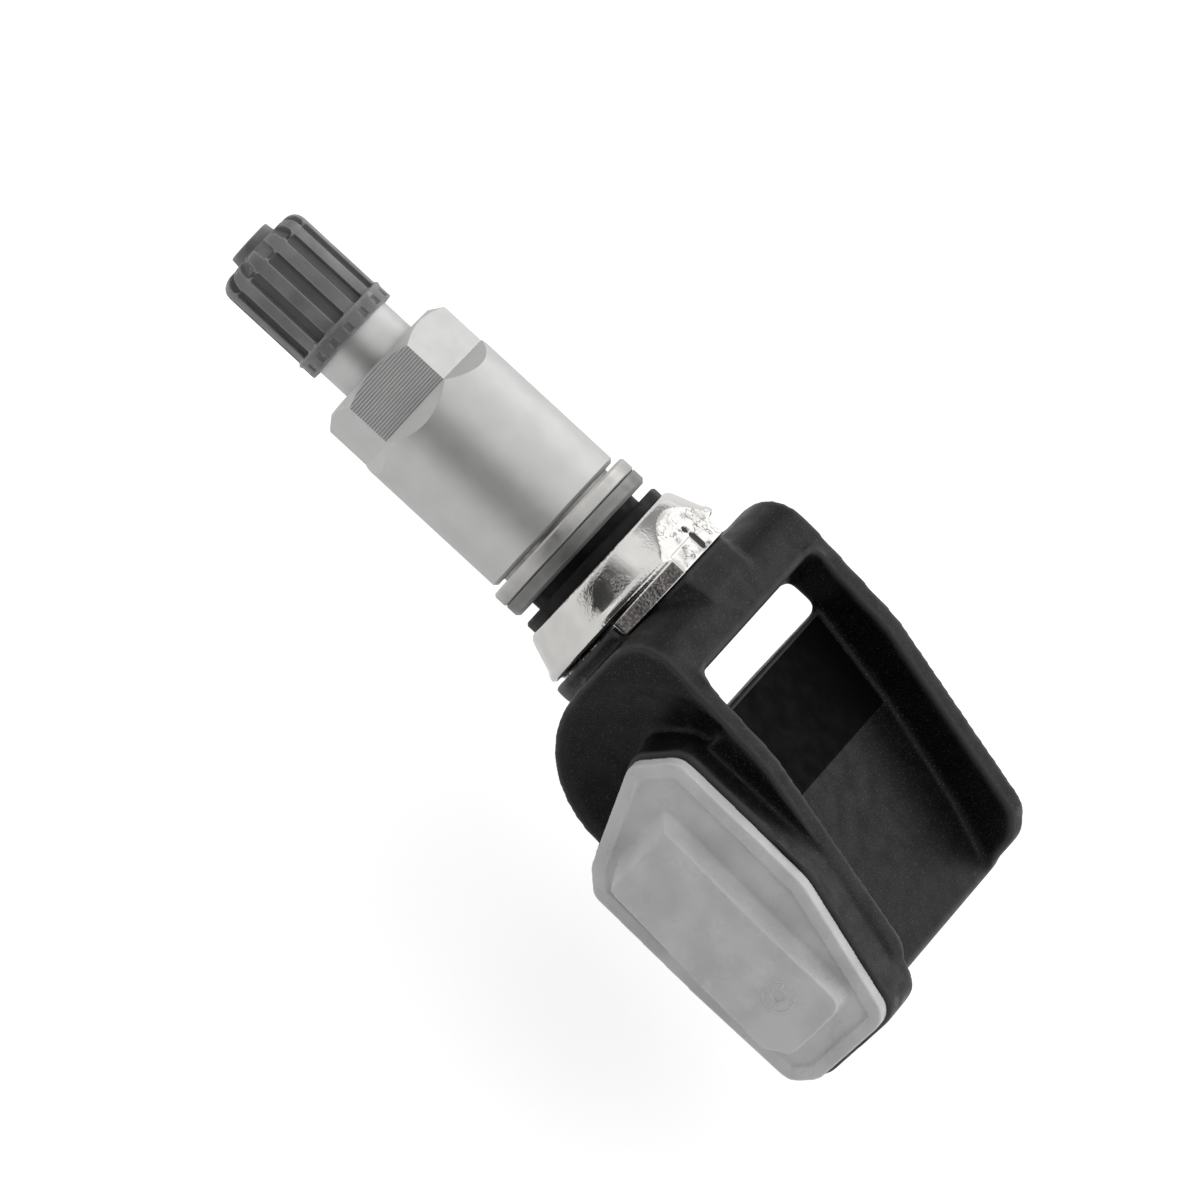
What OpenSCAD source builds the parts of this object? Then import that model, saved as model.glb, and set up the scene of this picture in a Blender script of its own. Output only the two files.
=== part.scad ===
// Tyre pressure sensor with a clamp-in valve.
// +X runs along the valve from the cap to the sensor body, +Z is the open side of the body's channel.
// The origin is the centre of the rim seat: the outer face of the rubber flange, on the valve axis.

/* [Valve] */
// Diameter of the smooth valve shank
shank_d = 7.67; // [7.4:0.01:8.0]
// Diameter of the tip that carries the cap thread, at half the thread's depth
tip_d = 7.15; // [6.9:0.01:7.3]
// Distance from the rim seat to the tip of the valve
valve_h = 34.65; // [33:0.05:36]
// Length of the threaded tip
tip_len = 8.3; // [7.8:0.1:8.8]
// Diameter of the collar at the valve's foot
foot_d = 10; // [9.4:0.1:11]
// Thickness of that collar
foot_t = 3.4; // [2.6:0.1:3.6]
// Diameter of the air channel
air_d = 3; // [2.4:0.1:3.2]

/* [Valve core] */
// Diameter of the threaded head of the core
core_head_d = 5.2; // [5:0.05:5.4]
// Length of that head
core_head_len = 3.5; // [3:0.1:4]
// Diameter of the core's barrel
core_barrel_d = 3.8; // [3.6:0.05:3.9]
// Length of the core, head and barrel
core_len = 12.4; // [11.8:0.1:13]
// How deep the core sits below the valve's tip
core_depth = 0.45; // [0.3:0.05:0.8]
// Diameter of the pin
pin_d = 1.2; // [1:0.05:1.4]
// Travel of the pin when it is pressed
pin_travel = 1.2; // [0.8:0.1:1.4]
// Wire of the core spring
spring_wire = 0.3; // [0.24:0.02:0.34]
// Turns of the core spring
spring_turns = 5; // [4:1:6]

/* [Cap] */
// Diameter over the ribs
cap_d = 8.9; // [8.7:0.05:9.6]
// Length from the open end to the ends of the ribs
cap_len = 10.5; // [10.2:0.1:11.5]
// Diameter of the boss on the closed end
cap_boss_d = 4.4; // [3:0.1:5.5]
// Height of that boss
cap_boss_h = 0.9; // [0.4:0.1:1.4]
// Number of ribs
cap_ribs = 12; // [8:1:16]
// Radius of the groove between two ribs
cap_groove_r = 0.5; // [0.3:0.05:0.6]
// Depth of that groove
cap_groove_depth = 0.32; // [0.15:0.01:0.4]
// Length of the plain collar at the open end
cap_collar_len = 1.6; // [1.2:0.1:2]
// How far the collar stands out over the ribs
cap_collar_out = 0.1; // [0.05:0.05:0.3]
// Number of notches in the collar
cap_notches = 16; // [10:1:20]
// Thickness of the gasket in the cap
gasket_t = 0.7; // [0.5:0.05:0.9]

/* [Nut] */
// Width of the hexagon across its flats
hex_af = 12; // [11.5:0.1:12.1]
// Length of the hexagon
hex_len = 4.8; // [4:0.1:6]
// Diameter of the nut's sleeve
nut_d = 14; // [13.9:0.05:14.6]
// Length of the whole nut
nut_len = 19.2; // [17.5:0.1:19.8]
// Turn of the hexagon's first face away from +Z
hex_turn = -1; // [-30:1:30]
// Length of the threaded part of the bore
nut_thread_len = 7; // [5:0.5:9]
// Diameter of the wider bore below the thread
nut_bore_d = 8.8; // [8.4:0.1:11]

/* [Clamping rings] */
// Diameter of the steel washer
washer_d = 15.2; // [14.5:0.1:15.8]
// Thickness of the steel washer
washer_t = 1.4; // [1:0.1:1.6]
// Diameter of the support ring
support_d = 15.1; // [14.5:0.1:15.7]
// Thickness of the support ring
support_t = 1.3; // [1:0.1:1.5]
// Diameter of the rubber neck, which fills the hole of the rim
neck_d = 11.8; // [11.3:0.1:12.4]
// Length of the rubber neck
neck_len = 0.8; // [0.6:0.1:1.2]
// Diameter of the rubber flange
rubber_d = 15.1; // [14.5:0.1:15.6]
// Thickness of the rubber flange
rubber_t = 0.95; // [0.8:0.05:1.2]

/* [Base] */
// Diameter of the plated base at the rubber
base_top_d = 15.8; // [15.4:0.1:16.4]
// Diameter of the plated base at the sensor body
base_d = 19; // [18:0.1:19.4]
// Height of the flared part of the base
base_h = 4.05; // [3.8:0.05:4.6]
// Width across the flats of the eight-sided boss under the flare
boss_af = 16.8; // [16:0.1:17.4]
// How deep the boss sits in the front of the housing
boss_seat = 1.5; // [1:0.1:2]
// Diameter of the hollow screw
screw_d = 4; // [3.6:0.1:4.4]
// Diameter of the head of the screw
screw_head_d = 7.6; // [7:0.1:9]
// Thickness of the head of the screw
screw_head_t = 2; // [1.6:0.1:2.2]
// Bore through the screw
screw_bore = 2; // [1.4:0.1:2.2]

/* [Housing] */
// Gap between the flare of the base and the front of the housing
front_gap = 1.7; // [1.5:0.1:2.2]
// Thickness of the front wall
front_t = 6.3; // [6:0.1:7]
// Width of the slot behind the front wall
slot_w = 3.4; // [3:0.1:3.8]
// Clear width between the two wings
channel_w = 21.1; // [20:0.1:23]
// Thickness of the wings
wing_t = 2.1; // [1.8:0.1:2.6]
// Height of the wings' front end over the valve axis
wing_h = 8.2; // [7.6:0.1:9]
// Length of the channel's floor
floor_len = 24.6; // [23:0.1:26]
// Thickness of the housing's plain walls
wall = 1.6; // [1.3:0.1:1.8]
// Radius of the round cheek beside the valve's foot
cheek_r = 9.8; // [9:0.1:10.4]
// Depth of the dish in that cheek
dish_depth = 1.7; // [1:0.1:1.9]

/* [Cover] */
// Length of the cover
cover_len = 28.5; // [27.6:0.1:29.4]
// Height of the cover
cover_h = 14.4; // [14:0.1:15]
// Lean of the side that carries the cover, in degrees
side_lean = 9; // [6:0.5:11]
// How far the side swings out between its front end and its bend
side_flare = 0.6; // [0.2:0.1:1]
// Thickness of the cover's plate
cover_t = 1.0; // [0.8:0.1:1.4]
// Height of the rib round the cover's edge over the plate
cover_rib = 0.4; // [0.2:0.05:0.6]
// Width of that rib
cover_rib_w = 1.2; // [0.8:0.1:1.6]
// Height of the raised panel over the plate
panel_h = 2.5; // [1.6:0.1:2.8]
// Diameter of the air hole in the raised panel
port_d = 1; // [0.8:0.1:1.4]

/* [Electronics] */
// Thickness of the circuit board
board_t = 0.8; // [0.6:0.1:1]
// Diameter of the coin cell
cell_d = 16; // [15:0.5:16.5]
// Thickness of the coin cell
cell_t = 3.2; // [2.5:0.1:3.2]
// Side of the square sensor chip
chip_w = 6; // [5:0.5:7]
// Thickness of the sensor chip
chip_t = 1.8; // [1.4:0.1:2]

/* [Hidden] */
$fn = 72;
// Running clearance on radius between turned pieces
fit = 0.05;
// Depth by which a cutting tool runs past the face it opens
cut = 1;

// Places along the valve axis, from the cap to the body
tip_x = -valve_h;
shank_x = tip_x + tip_len;
core_x = tip_x + core_depth;
core_end_x = core_x + core_len;
core_head_x = core_x + core_head_len;
seal_t = 2.2;
seal_x = core_head_x + 0.1;
core_floor = 0.7;
pin_collar_t = 0.4;
spring_len = 4.4;
spring_end_x = core_end_x - core_floor;
spring_x = spring_end_x - spring_len;
pin_collar_d = 2.4;
core_bore_d = 2.9;
plunger_t = 1.1;
plunger_d = 3.4;
plunger_x = core_end_x + 0.04;
pin_foot_t = 0.5;
pin_foot_x = plunger_x + plunger_t + 0.02;
chamber_end_x = pin_foot_x + pin_foot_t + pin_travel + 0.6;

cap_x1 = shank_x + 0.35;
cap_x0 = cap_x1 - cap_len;
cap_bore_x = tip_x - fit - gasket_t;
support_x0 = -neck_len - support_t;
washer_x0 = support_x0 - washer_t;
nut_x1 = washer_x0 - 0.3;
nut_x0 = nut_x1 - nut_len;
hex_x1 = nut_x0 + hex_len;
hex_run = 1.35;
hex_rise = 1;

base_x0 = rubber_t;
base_x1 = base_x0 + base_h;
foot_x1 = base_x0 + foot_t;
stem_end_x = foot_x1 + 1.6;
screw_depth = 5.2;

// Places on the housing
front_x = base_x1 + front_gap;
slot_x = front_x + front_t;
floor_x = slot_x + slot_w;
floor_x1 = floor_x + floor_len;
wing_knee_x = floor_x + 5.4;
wing_knee_z = 6.9;
channel_y = channel_w / 2;
wing_y = channel_y + wing_t;
boss_x1 = front_x + boss_seat;
head_seat_x = slot_x - screw_head_t - 0.2;
collar_r = base_d / 2 + 0.3;
sight_z = 3.2;
floor_drop = [3.5, 1.4, -0.9, -1.7, -4.1];
floor_steps = [0, 0.374, 0.655, 0.756, 0.964];
floor_top = [for (i = [0:4]) [floor_x + floor_len * floor_steps[i], floor_drop[i]]];
cheek_x = front_x + cheek_r;
nose_round = 3.6;
cheek_z = -1.4;
dish_r = cheek_r - 1.4;
body_bottom = cheek_z - cheek_r + 0.8;

// The leaning side and its cover, in the side's own frame: x along the valve, y into the body, z up
side_y = -wing_y - 2.95;
side_z = 4.4;
side_x0 = floor_x + 0.9;
bend_x = side_x0 + 12.9;
cover_x = slot_x + 1;
cover_top = -0.1;
cover_low = cover_top - cover_h;
cover_x1 = cover_x + cover_len;
cover_outline = [
    [cover_x + 2.95, cover_low + 1.9],
    [cover_x + 4.7, cover_low],
    [cover_x1 - 2.2, cover_low],
    [cover_x1 - 0.6, cover_low + 2],
    [cover_x1, cover_top - 3.9],
    [bend_x, cover_top],
    [cover_x + 2.3, cover_top],
    [cover_x - 0.3, cover_top - 3.4]];
cover_rounding = [1.6, 1.4, 1.8, 2, 1.8, 4, 2, 1.2];
panel_x = cover_x + 4;
panel_slope = 1.4;
panel_outline = [
    [panel_x - 0.2, cover_low + 4.3],
    [cover_x + 5.4, cover_low + 2.7],
    [cover_x1 - 5.6, cover_low + 1.9],
    [cover_x1 - 3.6, cover_low + 3.3],
    [cover_x1 - 3.3, cover_top - 4.5],
    [panel_x - 0.4, cover_top - 4.1]];
panel_rounding = [1.2, 1.2, 1.2, 1.4, 1.2, 1];
port_x = bend_x + 4.7;
port_z = cover_low + 6.5;
port_tube_d = 3;
coil_x = side_x0 + 6.3;
coil_z = cover_low + 5.6;
coil_len = 7;
coil_bar = 1.4;
coil_end_t = 0.8;
coil_end_w = 2.4;
winding_len = 5.4;
winding_w = 2.2;
shell_out = 0.4;
room_inset = wall - shell_out;
ledge_inset = room_inset + 1;
board_y = 1.4;
room_end = 3.8;

// The battery room under the channel's floor
cell_room_x0 = floor_x + wall;
cell_x = cell_room_x0 + cell_d / 2 + 0.3;
cell_y = -2.6;
tab_t = 0.2;
tab_w = 4;
tab_rise = 1.2;
// How far short of the cell's middle the tabs end
tab_short = 3;
cell_room_z = body_bottom + wall;
cell_z = cell_room_z + tab_t + 0.1;

// Direction of a step of length one
function unit(v) = v / norm(v);

// Left-hand normal of a direction
function left(v) = [-v[1], v[0]];

// Corner i of an outline that runs anticlockwise, moved inwards by d
function inset_corner(p, i, d) =
    let (
        n = len(p),
        u = unit(p[i] - p[(i + n - 1) % n]),
        v = unit(p[(i + 1) % n] - p[i]))
    p[i] + d * (left(u) + left(v)) / (1 + u * v);

// An outline moved inwards by d
function inset(p, d) = [for (i = [0:len(p) - 1]) inset_corner(p, i, d)];

// Points of an arc of radius r that rounds corner i of an outline
function corner_arc(p, i, r, steps) =
    let (
        n = len(p),
        u = unit(p[i] - p[(i + n - 1) % n]),
        v = unit(p[(i + 1) % n] - p[i]),
        side = left(u) * v < 0 ? -1 : 1,
        turn = acos(max(-1, min(1, u * v))),
        start = p[i] - u * r * tan(turn / 2),
        centre = start + side * r * left(u),
        from = atan2(start[1] - centre[1], start[0] - centre[0]))
    [for (k = [0:steps]) centre + r * [
        cos(from + side * turn * k / steps),
        sin(from + side * turn * k / steps)]];

// An outline with the radius r[i] at each corner i, and a sharp corner where r[i] is 0
function rounded(p, r, steps = 5) = [
    for (i = [0:len(p) - 1])
        each (r[i] > 0 ? corner_arc(p, i, r[i], steps) : [p[i]])];

// The cover's outline moved inwards by d, with its corners still round
function cover_shape(d) = rounded(inset(cover_outline, d), [for (r = cover_rounding) max(0.3, r - d)]);

// Height of the wings' front stretch at place x
function wing_top(x) =
    wing_h + 0.25 + (wing_knee_z - wing_h - 0.25) * (x - front_x) / (wing_knee_x - front_x);

// Height of the front wall's top at place x, just under the wings
function wall_top(x) = wing_top(x) - 0.04;

// Distance of the leaning side's face at place x, in the side's frame
function face_y(x) = -side_flare * min(1, (x - side_x0) / (bend_x - side_x0));

// Place in y just behind the board's back at height z
function board_back_y(z) =
    side_y + (board_y + board_t) / cos(side_lean) + (z - side_z) * tan(side_lean) + 0.05;

// Cylinder along the valve axis from x0 to x1
module rod(x0, x1, d, d_end = 0) {
    translate([x0, 0, 0])
        rotate([0, 90, 0])
            cylinder(h = x1 - x0, d1 = d, d2 = d_end > 0 ? d_end : d);
}

// Ring or tube along the valve axis
module tube(x0, x1, d, bore) {
    difference() {
        rod(x0, x1, d);
        rod(x0 - cut, x1 + cut, bore);
    }
}

// Solid of revolution about the valve axis from points [x, radius]
module turned(points) {
    rotate([0, 90, 0])
        rotate_extrude()
            polygon([for (p = points) [p[1], p[0]]]);
}

// Plate with an outline in x and z, between two values of y
module plate(y0, y1, points) {
    translate([0, y1, 0])
        rotate([90, 0, 0])
            linear_extrude(height = y1 - y0)
                polygon(points);
}

// Everything inside is placed in the leaning side's frame
module side_frame() {
    translate([0, side_y, side_z])
        rotate([-side_lean, 0, 0])
            children();
}

// Layer that follows the bent side face, between two depths from it
module face_layer(y0, y1) {
    x_a = slot_x - 8;
    x_b = cover_x1 + 8;
    translate([0, 0, -40])
        linear_extrude(height = 60)
            polygon([
                [x_a, face_y(x_a) + y0],
                [bend_x, face_y(bend_x) + y0],
                [x_b, face_y(x_b) + y0],
                [x_b, face_y(x_b) + y1],
                [bend_x, face_y(bend_x) + y1],
                [x_a, face_y(x_a) + y1]]);
}

// Layer for the raised panel between two depths, whose front side slopes back from place x_a
module panel_layer(x_a, y_in, y_out) {
    x_b = cover_x1 + 8;
    translate([0, 0, -40])
        linear_extrude(height = 60)
            polygon([
                [x_a, face_y(x_a) + y_in],
                [x_a, face_y(x_a) - cover_t],
                [x_a + panel_slope, face_y(x_a + panel_slope) + y_out],
                [bend_x, face_y(bend_x) + y_out],
                [x_b, face_y(x_b) + y_out],
                [x_b, face_y(x_b) + y_in],
                [bend_x, face_y(bend_x) + y_in]]);
}

// Small block in the side's frame, centred at x and z, between two depths
module side_block(x, z, w, h, y0, y1) {
    translate([x - w / 2, y0, z - h / 2])
        cube([w, y1 - y0, h]);
}

// Turned aluminium valve with its foot collar, air channel and screw thread bore
module valve_stem() {
    color("silver")
        difference() {
            turned([
                [tip_x, 0], [tip_x, tip_d / 2 - 0.5], [tip_x + 0.5, tip_d / 2],
                [shank_x, tip_d / 2], [shank_x + 0.3, shank_d / 2],
                [base_x0 + fit, shank_d / 2], [base_x0 + fit, foot_d / 2],
                [foot_x1, foot_d / 2], [foot_x1, shank_d / 2], [stem_end_x, shank_d / 2],
                [stem_end_x, 0]]);
            rod(tip_x - cut, seal_x + seal_t + fit, core_head_d + 2 * fit);
            rod(tip_x - cut, chamber_end_x, core_barrel_d + 2 * fit);
            rod(chamber_end_x - cut, stem_end_x, air_d);
            rod(stem_end_x - screw_depth, stem_end_x + cut, screw_d + 2 * fit);
        }
}

// Brass core with a slotted head and a barrel for the spring
module core_body() {
    color("goldenrod")
        difference() {
            union() {
                rod(core_x, core_head_x, core_head_d);
                rod(core_head_x - fit, core_end_x, core_barrel_d);
            }
            rod(core_x - cut, spring_end_x, core_bore_d);
            rod(core_x - cut, core_end_x + cut, pin_d + 4 * fit);
            translate([core_x - cut, -core_head_d, -0.5])
                cube([cut + 1.2, 2 * core_head_d, 1]);
        }
}

// Sealing ring on the core's barrel
module core_seal() {
    color("red")
        tube(seal_x, seal_x + seal_t, core_head_d, core_barrel_d + fit);
}

// Pin that opens the valve when it is pressed
module core_pin() {
    color("gold")
        turned([
            [core_x - 0.2, 0], [core_x - 0.2, pin_d / 2],
            [spring_x - pin_collar_t, pin_d / 2], [spring_x - pin_collar_t, pin_collar_d / 2],
            [spring_x, pin_collar_d / 2], [spring_x, pin_d / 2],
            [pin_foot_x, pin_d / 2], [pin_foot_x, pin_d / 2 + 0.5],
            [pin_foot_x + pin_foot_t, pin_d / 2 + 0.5], [pin_foot_x + pin_foot_t, 0]]);
}

// Spring in the barrel that holds the pin up, swept as a helix
module core_spring() {
    sides = 8;
    rings = spring_turns * 14;
    coil_r = (core_bore_d + pin_d) / 4;
    x_a = spring_x + spring_wire / 2 + 0.02;
    x_b = spring_end_x - spring_wire / 2 - 0.02;
    points = [
        for (i = [0:rings], k = [0:sides - 1])
            let (
                a = 360 * spring_turns * i / rings,
                b = 360 * k / sides,
                r = coil_r + spring_wire / 2 * cos(b))
            [x_a + (x_b - x_a) * i / rings + spring_wire / 2 * sin(b), r * cos(a), r * sin(a)]];
    skin = [
        for (i = [0:rings - 1], k = [0:sides - 1])
            let (
                m = (k + 1) % sides,
                j = i + 1)
            [i * sides + k, j * sides + k, j * sides + m, i * sides + m]];
    ends = [
        [for (k = [0:sides - 1]) k],
        [for (k = [sides - 1:-1:0]) rings * sides + k]];
    color("lightgray")
        polyhedron(points = points, faces = concat(skin, ends));
}

// Rubber cup on the pin that closes the core from below
module plunger_seal() {
    color("black")
        tube(plunger_x, plunger_x + plunger_t, plunger_d, pin_d + fit);
}

// Moulded dust cap with rounded ribs and a notched collar
module valve_cap() {
    rib_r = cap_d / 2;
    collar_x = cap_x1 - cap_collar_len;
    round_r = 1.1;
    color("dimgray")
        difference() {
            union() {
                difference() {
                    turned(concat(
                        [[cap_x0, 0]],
                        [for (k = [0:5])
                            [cap_x0 + round_r - round_r * cos(18 * k),
                             rib_r - round_r + round_r * sin(18 * k)]],
                        [[collar_x, rib_r], [collar_x, 0]]));
                    for (k = [0:cap_ribs - 1])
                        rotate([360 * (k + 0.5) / cap_ribs, 0, 0])
                            translate([cap_x0 - cut, 0, rib_r + cap_groove_r - cap_groove_depth])
                                rotate([0, 90, 0])
                                    cylinder(h = cap_len + 2 * cut, r = cap_groove_r, $fn = 24);
                }
                rod(cap_x0 - cap_boss_h, cap_x0 + cut, cap_boss_d - 0.4, cap_boss_d);
                rod(collar_x, collar_x + 0.25, cap_d + 4 * cap_collar_out);
                rod(collar_x, cap_x1, cap_d + 2 * cap_collar_out);
            }
            rod(cap_bore_x, cap_x1 + cut, tip_d + 3 * fit);
            rod(shank_x - 0.1, cap_x1 + cut, shank_d + 3 * fit);
            for (k = [0:cap_notches - 1])
                rotate([360 * k / cap_notches, 0, 0])
                    translate([collar_x + 0.55, -0.3, rib_r - 0.12])
                        cube([0.8, 0.6, 1]);
        }
}

// Gasket inside the cap that seals on the valve's tip
module cap_gasket() {
    color("black")
        rod(cap_bore_x + 0.01, cap_bore_x + gasket_t, tip_d - 0.3);
}

// Cutter for one face of the hexagon: the face ends in a straight line and a sloping run-out
module hex_cutter() {
    reach = 3;
    plate(-nut_d, nut_d, [
        [nut_x0 - cut, hex_af / 2],
        [hex_x1, hex_af / 2],
        [hex_x1 + reach * hex_run, hex_af / 2 + reach * hex_rise],
        [nut_x0 - cut, hex_af / 2 + reach * hex_rise]]);
}

// Clamping nut: a plain sleeve with six milled faces at its cap end
module collar_nut() {
    edge = 0.9;
    color("lightgray")
        difference() {
            turned([
                [nut_x0, 0], [nut_x0, hex_af / 2 - 0.25], [nut_x0 + edge, nut_d / 2],
                [nut_x1 - 0.3, nut_d / 2], [nut_x1, nut_d / 2 - 0.3], [nut_x1, 0]]);
            for (k = [0:5])
                rotate([hex_turn + 60 * k, 0, 0])
                    hex_cutter();
            rod(nut_x0 - cut, nut_x1 + cut, shank_d + 2 * fit);
            rod(nut_x0 + nut_thread_len, nut_x1 + cut, nut_bore_d);
            rod(nut_x0 - cut, nut_x0 + 0.5, shank_d + 3, shank_d + 2 * fit);
        }
}

// Steel washer that the nut turns on, with a low shoulder that reaches the nut
module clamp_washer() {
    color("gainsboro")
        difference() {
            union() {
                turned([
                    [washer_x0, 0], [washer_x0, washer_d / 2 - 0.2], [washer_x0 + 0.2, washer_d / 2],
                    [washer_x0 + washer_t - 0.2, washer_d / 2],
                    [washer_x0 + washer_t, washer_d / 2 - 0.2], [washer_x0 + washer_t, 0]]);
                rod(nut_x1, washer_x0 + fit, nut_d - 2);
            }
            rod(nut_x1 - cut, washer_x0 + washer_t + cut, shank_d + 2 * fit);
        }
}

// Support ring between the washer and the rubber
module support_ring() {
    color("gray")
        difference() {
            turned([
                [support_x0, 0], [support_x0, support_d / 2], [-neck_len - 0.3, support_d / 2],
                [-neck_len, support_d / 2 - 0.3], [-neck_len, 0]]);
            rod(support_x0 - cut, cut, shank_d + 2 * fit);
        }
}

// Rubber grommet: the neck fills the rim's hole and the flange seals inside
module rubber_grommet() {
    color("#202022")
        difference() {
            turned([
                [-neck_len, 0], [-neck_len, neck_d / 2], [0, neck_d / 2],
                [0, rubber_d / 2 - 0.2], [0.2, rubber_d / 2],
                [rubber_t, rubber_d / 2], [rubber_t, 0]]);
            rod(-neck_len - cut, rubber_t + cut, shank_d + 2 * fit);
        }
}

// Eight-sided prism along the valve axis, with a flat on top
module octagon(x0, x1, af) {
    translate([x0, 0, 0])
        rotate([22.5, 0, 0])
            rotate([0, 90, 0])
                cylinder(h = x1 - x0, d = af / cos(22.5), $fn = 8);
}

// Plated base that flares from the rubber to the body, with one flat and an eight-sided boss
module base_flange() {
    round_r = 1.3;
    edge_t = 0.7;
    color("#b9b4ac")
        difference() {
            union() {
                turned(concat(
                    [[base_x0, 0]],
                    [for (k = [0:5])
                        [base_x0 + round_r - round_r * cos(18 * k),
                         base_top_d / 2 - round_r + round_r * sin(18 * k)]],
                    [[base_x0 + base_h * 0.45, base_top_d / 2 + 0.25],
                     [base_x1 - edge_t, base_d / 2 - 0.1],
                     [base_x1 - 0.3, base_d / 2], [base_x1, base_d / 2 - 0.3], [base_x1, 0]]));
                octagon(base_x1 - cut, boss_x1, boss_af);
            }
            rod(base_x0 - cut, foot_x1 + fit, foot_d + 2 * fit);
            rod(base_x0 - cut, stem_end_x + fit, shank_d + 2 * fit);
            rod(base_x0 - cut, boss_x1 + cut, screw_d + 4 * fit);
            translate([base_x0 - cut, -base_d, boss_af / 2])
                cube([base_h + 2 * cut, 2 * base_d, base_d]);
        }
}

// Hollow screw that clamps the body and the base to the valve
module base_screw() {
    shank_x0 = stem_end_x - screw_depth + 0.4;
    head_x1 = head_seat_x + screw_head_t;
    color("darkgray")
        difference() {
            union() {
                rod(shank_x0, head_seat_x + fit, screw_d);
                rod(head_seat_x, head_x1, screw_head_d);
            }
            rod(shank_x0 - cut, head_x1 + cut, screw_bore);
            translate([head_x1 - 1.2, 0, 0])
                rotate([0, 90, 0])
                    cylinder(h = cut + 1.2, d = 3.4, $fn = 6);
        }
}

// Side view of the nose: the front wall and the round cheek
module nose(y0, y1, x1) {
    x_end = max(x1, cheek_x) + cut;
    intersection() {
        plate(y0, y1, concat(
            [for (k = [0:10])
                [cheek_x - cheek_r * cos(9 * k), cheek_z - cheek_r * sin(9 * k)]],
            [[x_end, cheek_z - cheek_r], [x_end, wall_top(x_end)]],
            corner_arc(
                [[x_end, wall_top(x_end)], [front_x, wall_top(front_x)], [front_x, cheek_z]],
                1, nose_round, 6)));
        translate([0, y0 - cut, -30])
            cube([x1, y1 - y0 + 2 * cut, 60]);
    }
}

// Front wall, as wide as both wings and round below the valve's foot
module front_wall() {
    intersection() {
        nose(-wing_y, wing_y, floor_x + 0.6);
        translate([front_x - cut, 0, 0])
            rotate([90, 0, 90])
                linear_extrude(height = front_t + cut)
                    polygon(rounded([
                        [-wing_y, -cheek_r - 2], [wing_y - 7, -cheek_r - 2],
                        [wing_y - 2.6, -cheek_r + 3.2], [wing_y, 1.6],
                        [wing_y, wing_h + 2], [-wing_y, wing_h + 2]], [0, 3, 6, 4, 0, 0]));
    }
}

// Raised collar on the front wall, round the lower sides of the base's boss
module front_collar() {
    intersection() {
        rod(base_x1 + 0.3, front_x + 0.5, 2 * collar_r);
        translate([base_x1, -collar_r - 1, -collar_r - 1])
            cube([front_gap + 1, 2 * collar_r + 2, collar_r + 4.4]);
    }
}

// Side view of a wing, which stands on the floor's edge and spans the slot
module wing(y0, y1) {
    x0 = front_x + nose_round + 0.1;
    plate(y0, y1, rounded([
        [x0, sight_z],
        [floor_x, sight_z],
        [floor_x1 - 2.6, -4.9],
        [floor_x1 + 0.2, -4.9],
        [floor_x1 + 0.1, -0.7],
        [floor_x1 - 1.4, 1.6],
        [wing_knee_x, wing_knee_z],
        [x0, wing_top(x0)]], [0, 0, 0, 0.8, 1.6, 2.2, 5, 0]));
}

// The body under the channel: its top is the channel's faceted floor
module hold() {
    difference() {
        plate(-wing_y - 1.2, wing_y, rounded(
            concat(
                [for (i = [4:-1:0]) floor_top[i]],
                [[floor_x, body_bottom], [floor_x1 - 6, body_bottom + 0.3],
                 [floor_x1 - 1.6, body_bottom + 1.7], [floor_x1 + 0.5, floor_drop[4] - 2.4],
                 [floor_x1 + 0.4, floor_drop[4] - 0.4]]),
            [0, 0, 0, 0, 0, 2.4, 6, 1.8, 1.2, 0]));
        translate([floor_x - cut, wing_y, -1.8])
            rotate([26, 0, 0])
                translate([0, 0, -30])
                    cube([floor_len + 6, 20, 30]);
        translate([floor_x - cut, -2 * wing_y, -30])
            cube([side_x0 - floor_x + cut, wing_y, 60]);
    }
}

// Box beside the channel that the cover closes
module pod() {
    side_frame()
        intersection() {
            plate(-10, 5, cover_shape(-shell_out));
            face_layer(0, 40);
        }
}

// Room for the circuit board, open at the leaning side, with a ledge for the board
module board_room() {
    side_frame() {
        plate(-20, board_y + board_t + fit, cover_shape(room_inset));
        plate(0, room_end, cover_shape(ledge_inset));
    }
}

// Room for the coin cell under the floor, open towards the board room
module cell_room() {
    plate(-wing_y - 1.6, wing_y - 4.2, concat(
        [for (i = [3:-1:0]) [floor_top[i][0] + (i == 0 ? wall : 0), floor_top[i][1] - wall - 0.3]],
        [[cell_room_x0, cell_room_z], [floor_x1 - 5, cell_room_z],
         [floor_x1 - 2.2, cell_room_z + 1.2], [floor_x1 - 2.2, floor_drop[4] - wall + 0.6]]));
}

// Round cheek beside the valve's foot, thicker under the slot
module cheek() {
    nose(-wing_y, -channel_y, floor_x + 0.6);
    intersection() {
        nose(-wing_y, -channel_y + 2, floor_x + 0.6);
        translate([0, -wing_y - 1, -20])
            cube([40, 20, 20 + sight_z - 2.2]);
    }
}

// Round cutter for the dish in the cheek's outer side, which ends where the box begins
module dish() {
    dish_curve = (pow(dish_r, 2) + pow(dish_depth, 2)) / (2 * dish_depth);
    intersection() {
        translate([cheek_x - 0.3, -wing_y + dish_depth - dish_curve, cheek_z])
            sphere(r = dish_curve);
        translate([0, -2 * wing_y, -30])
            cube([side_x0, 2 * wing_y, 60]);
    }
}

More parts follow.
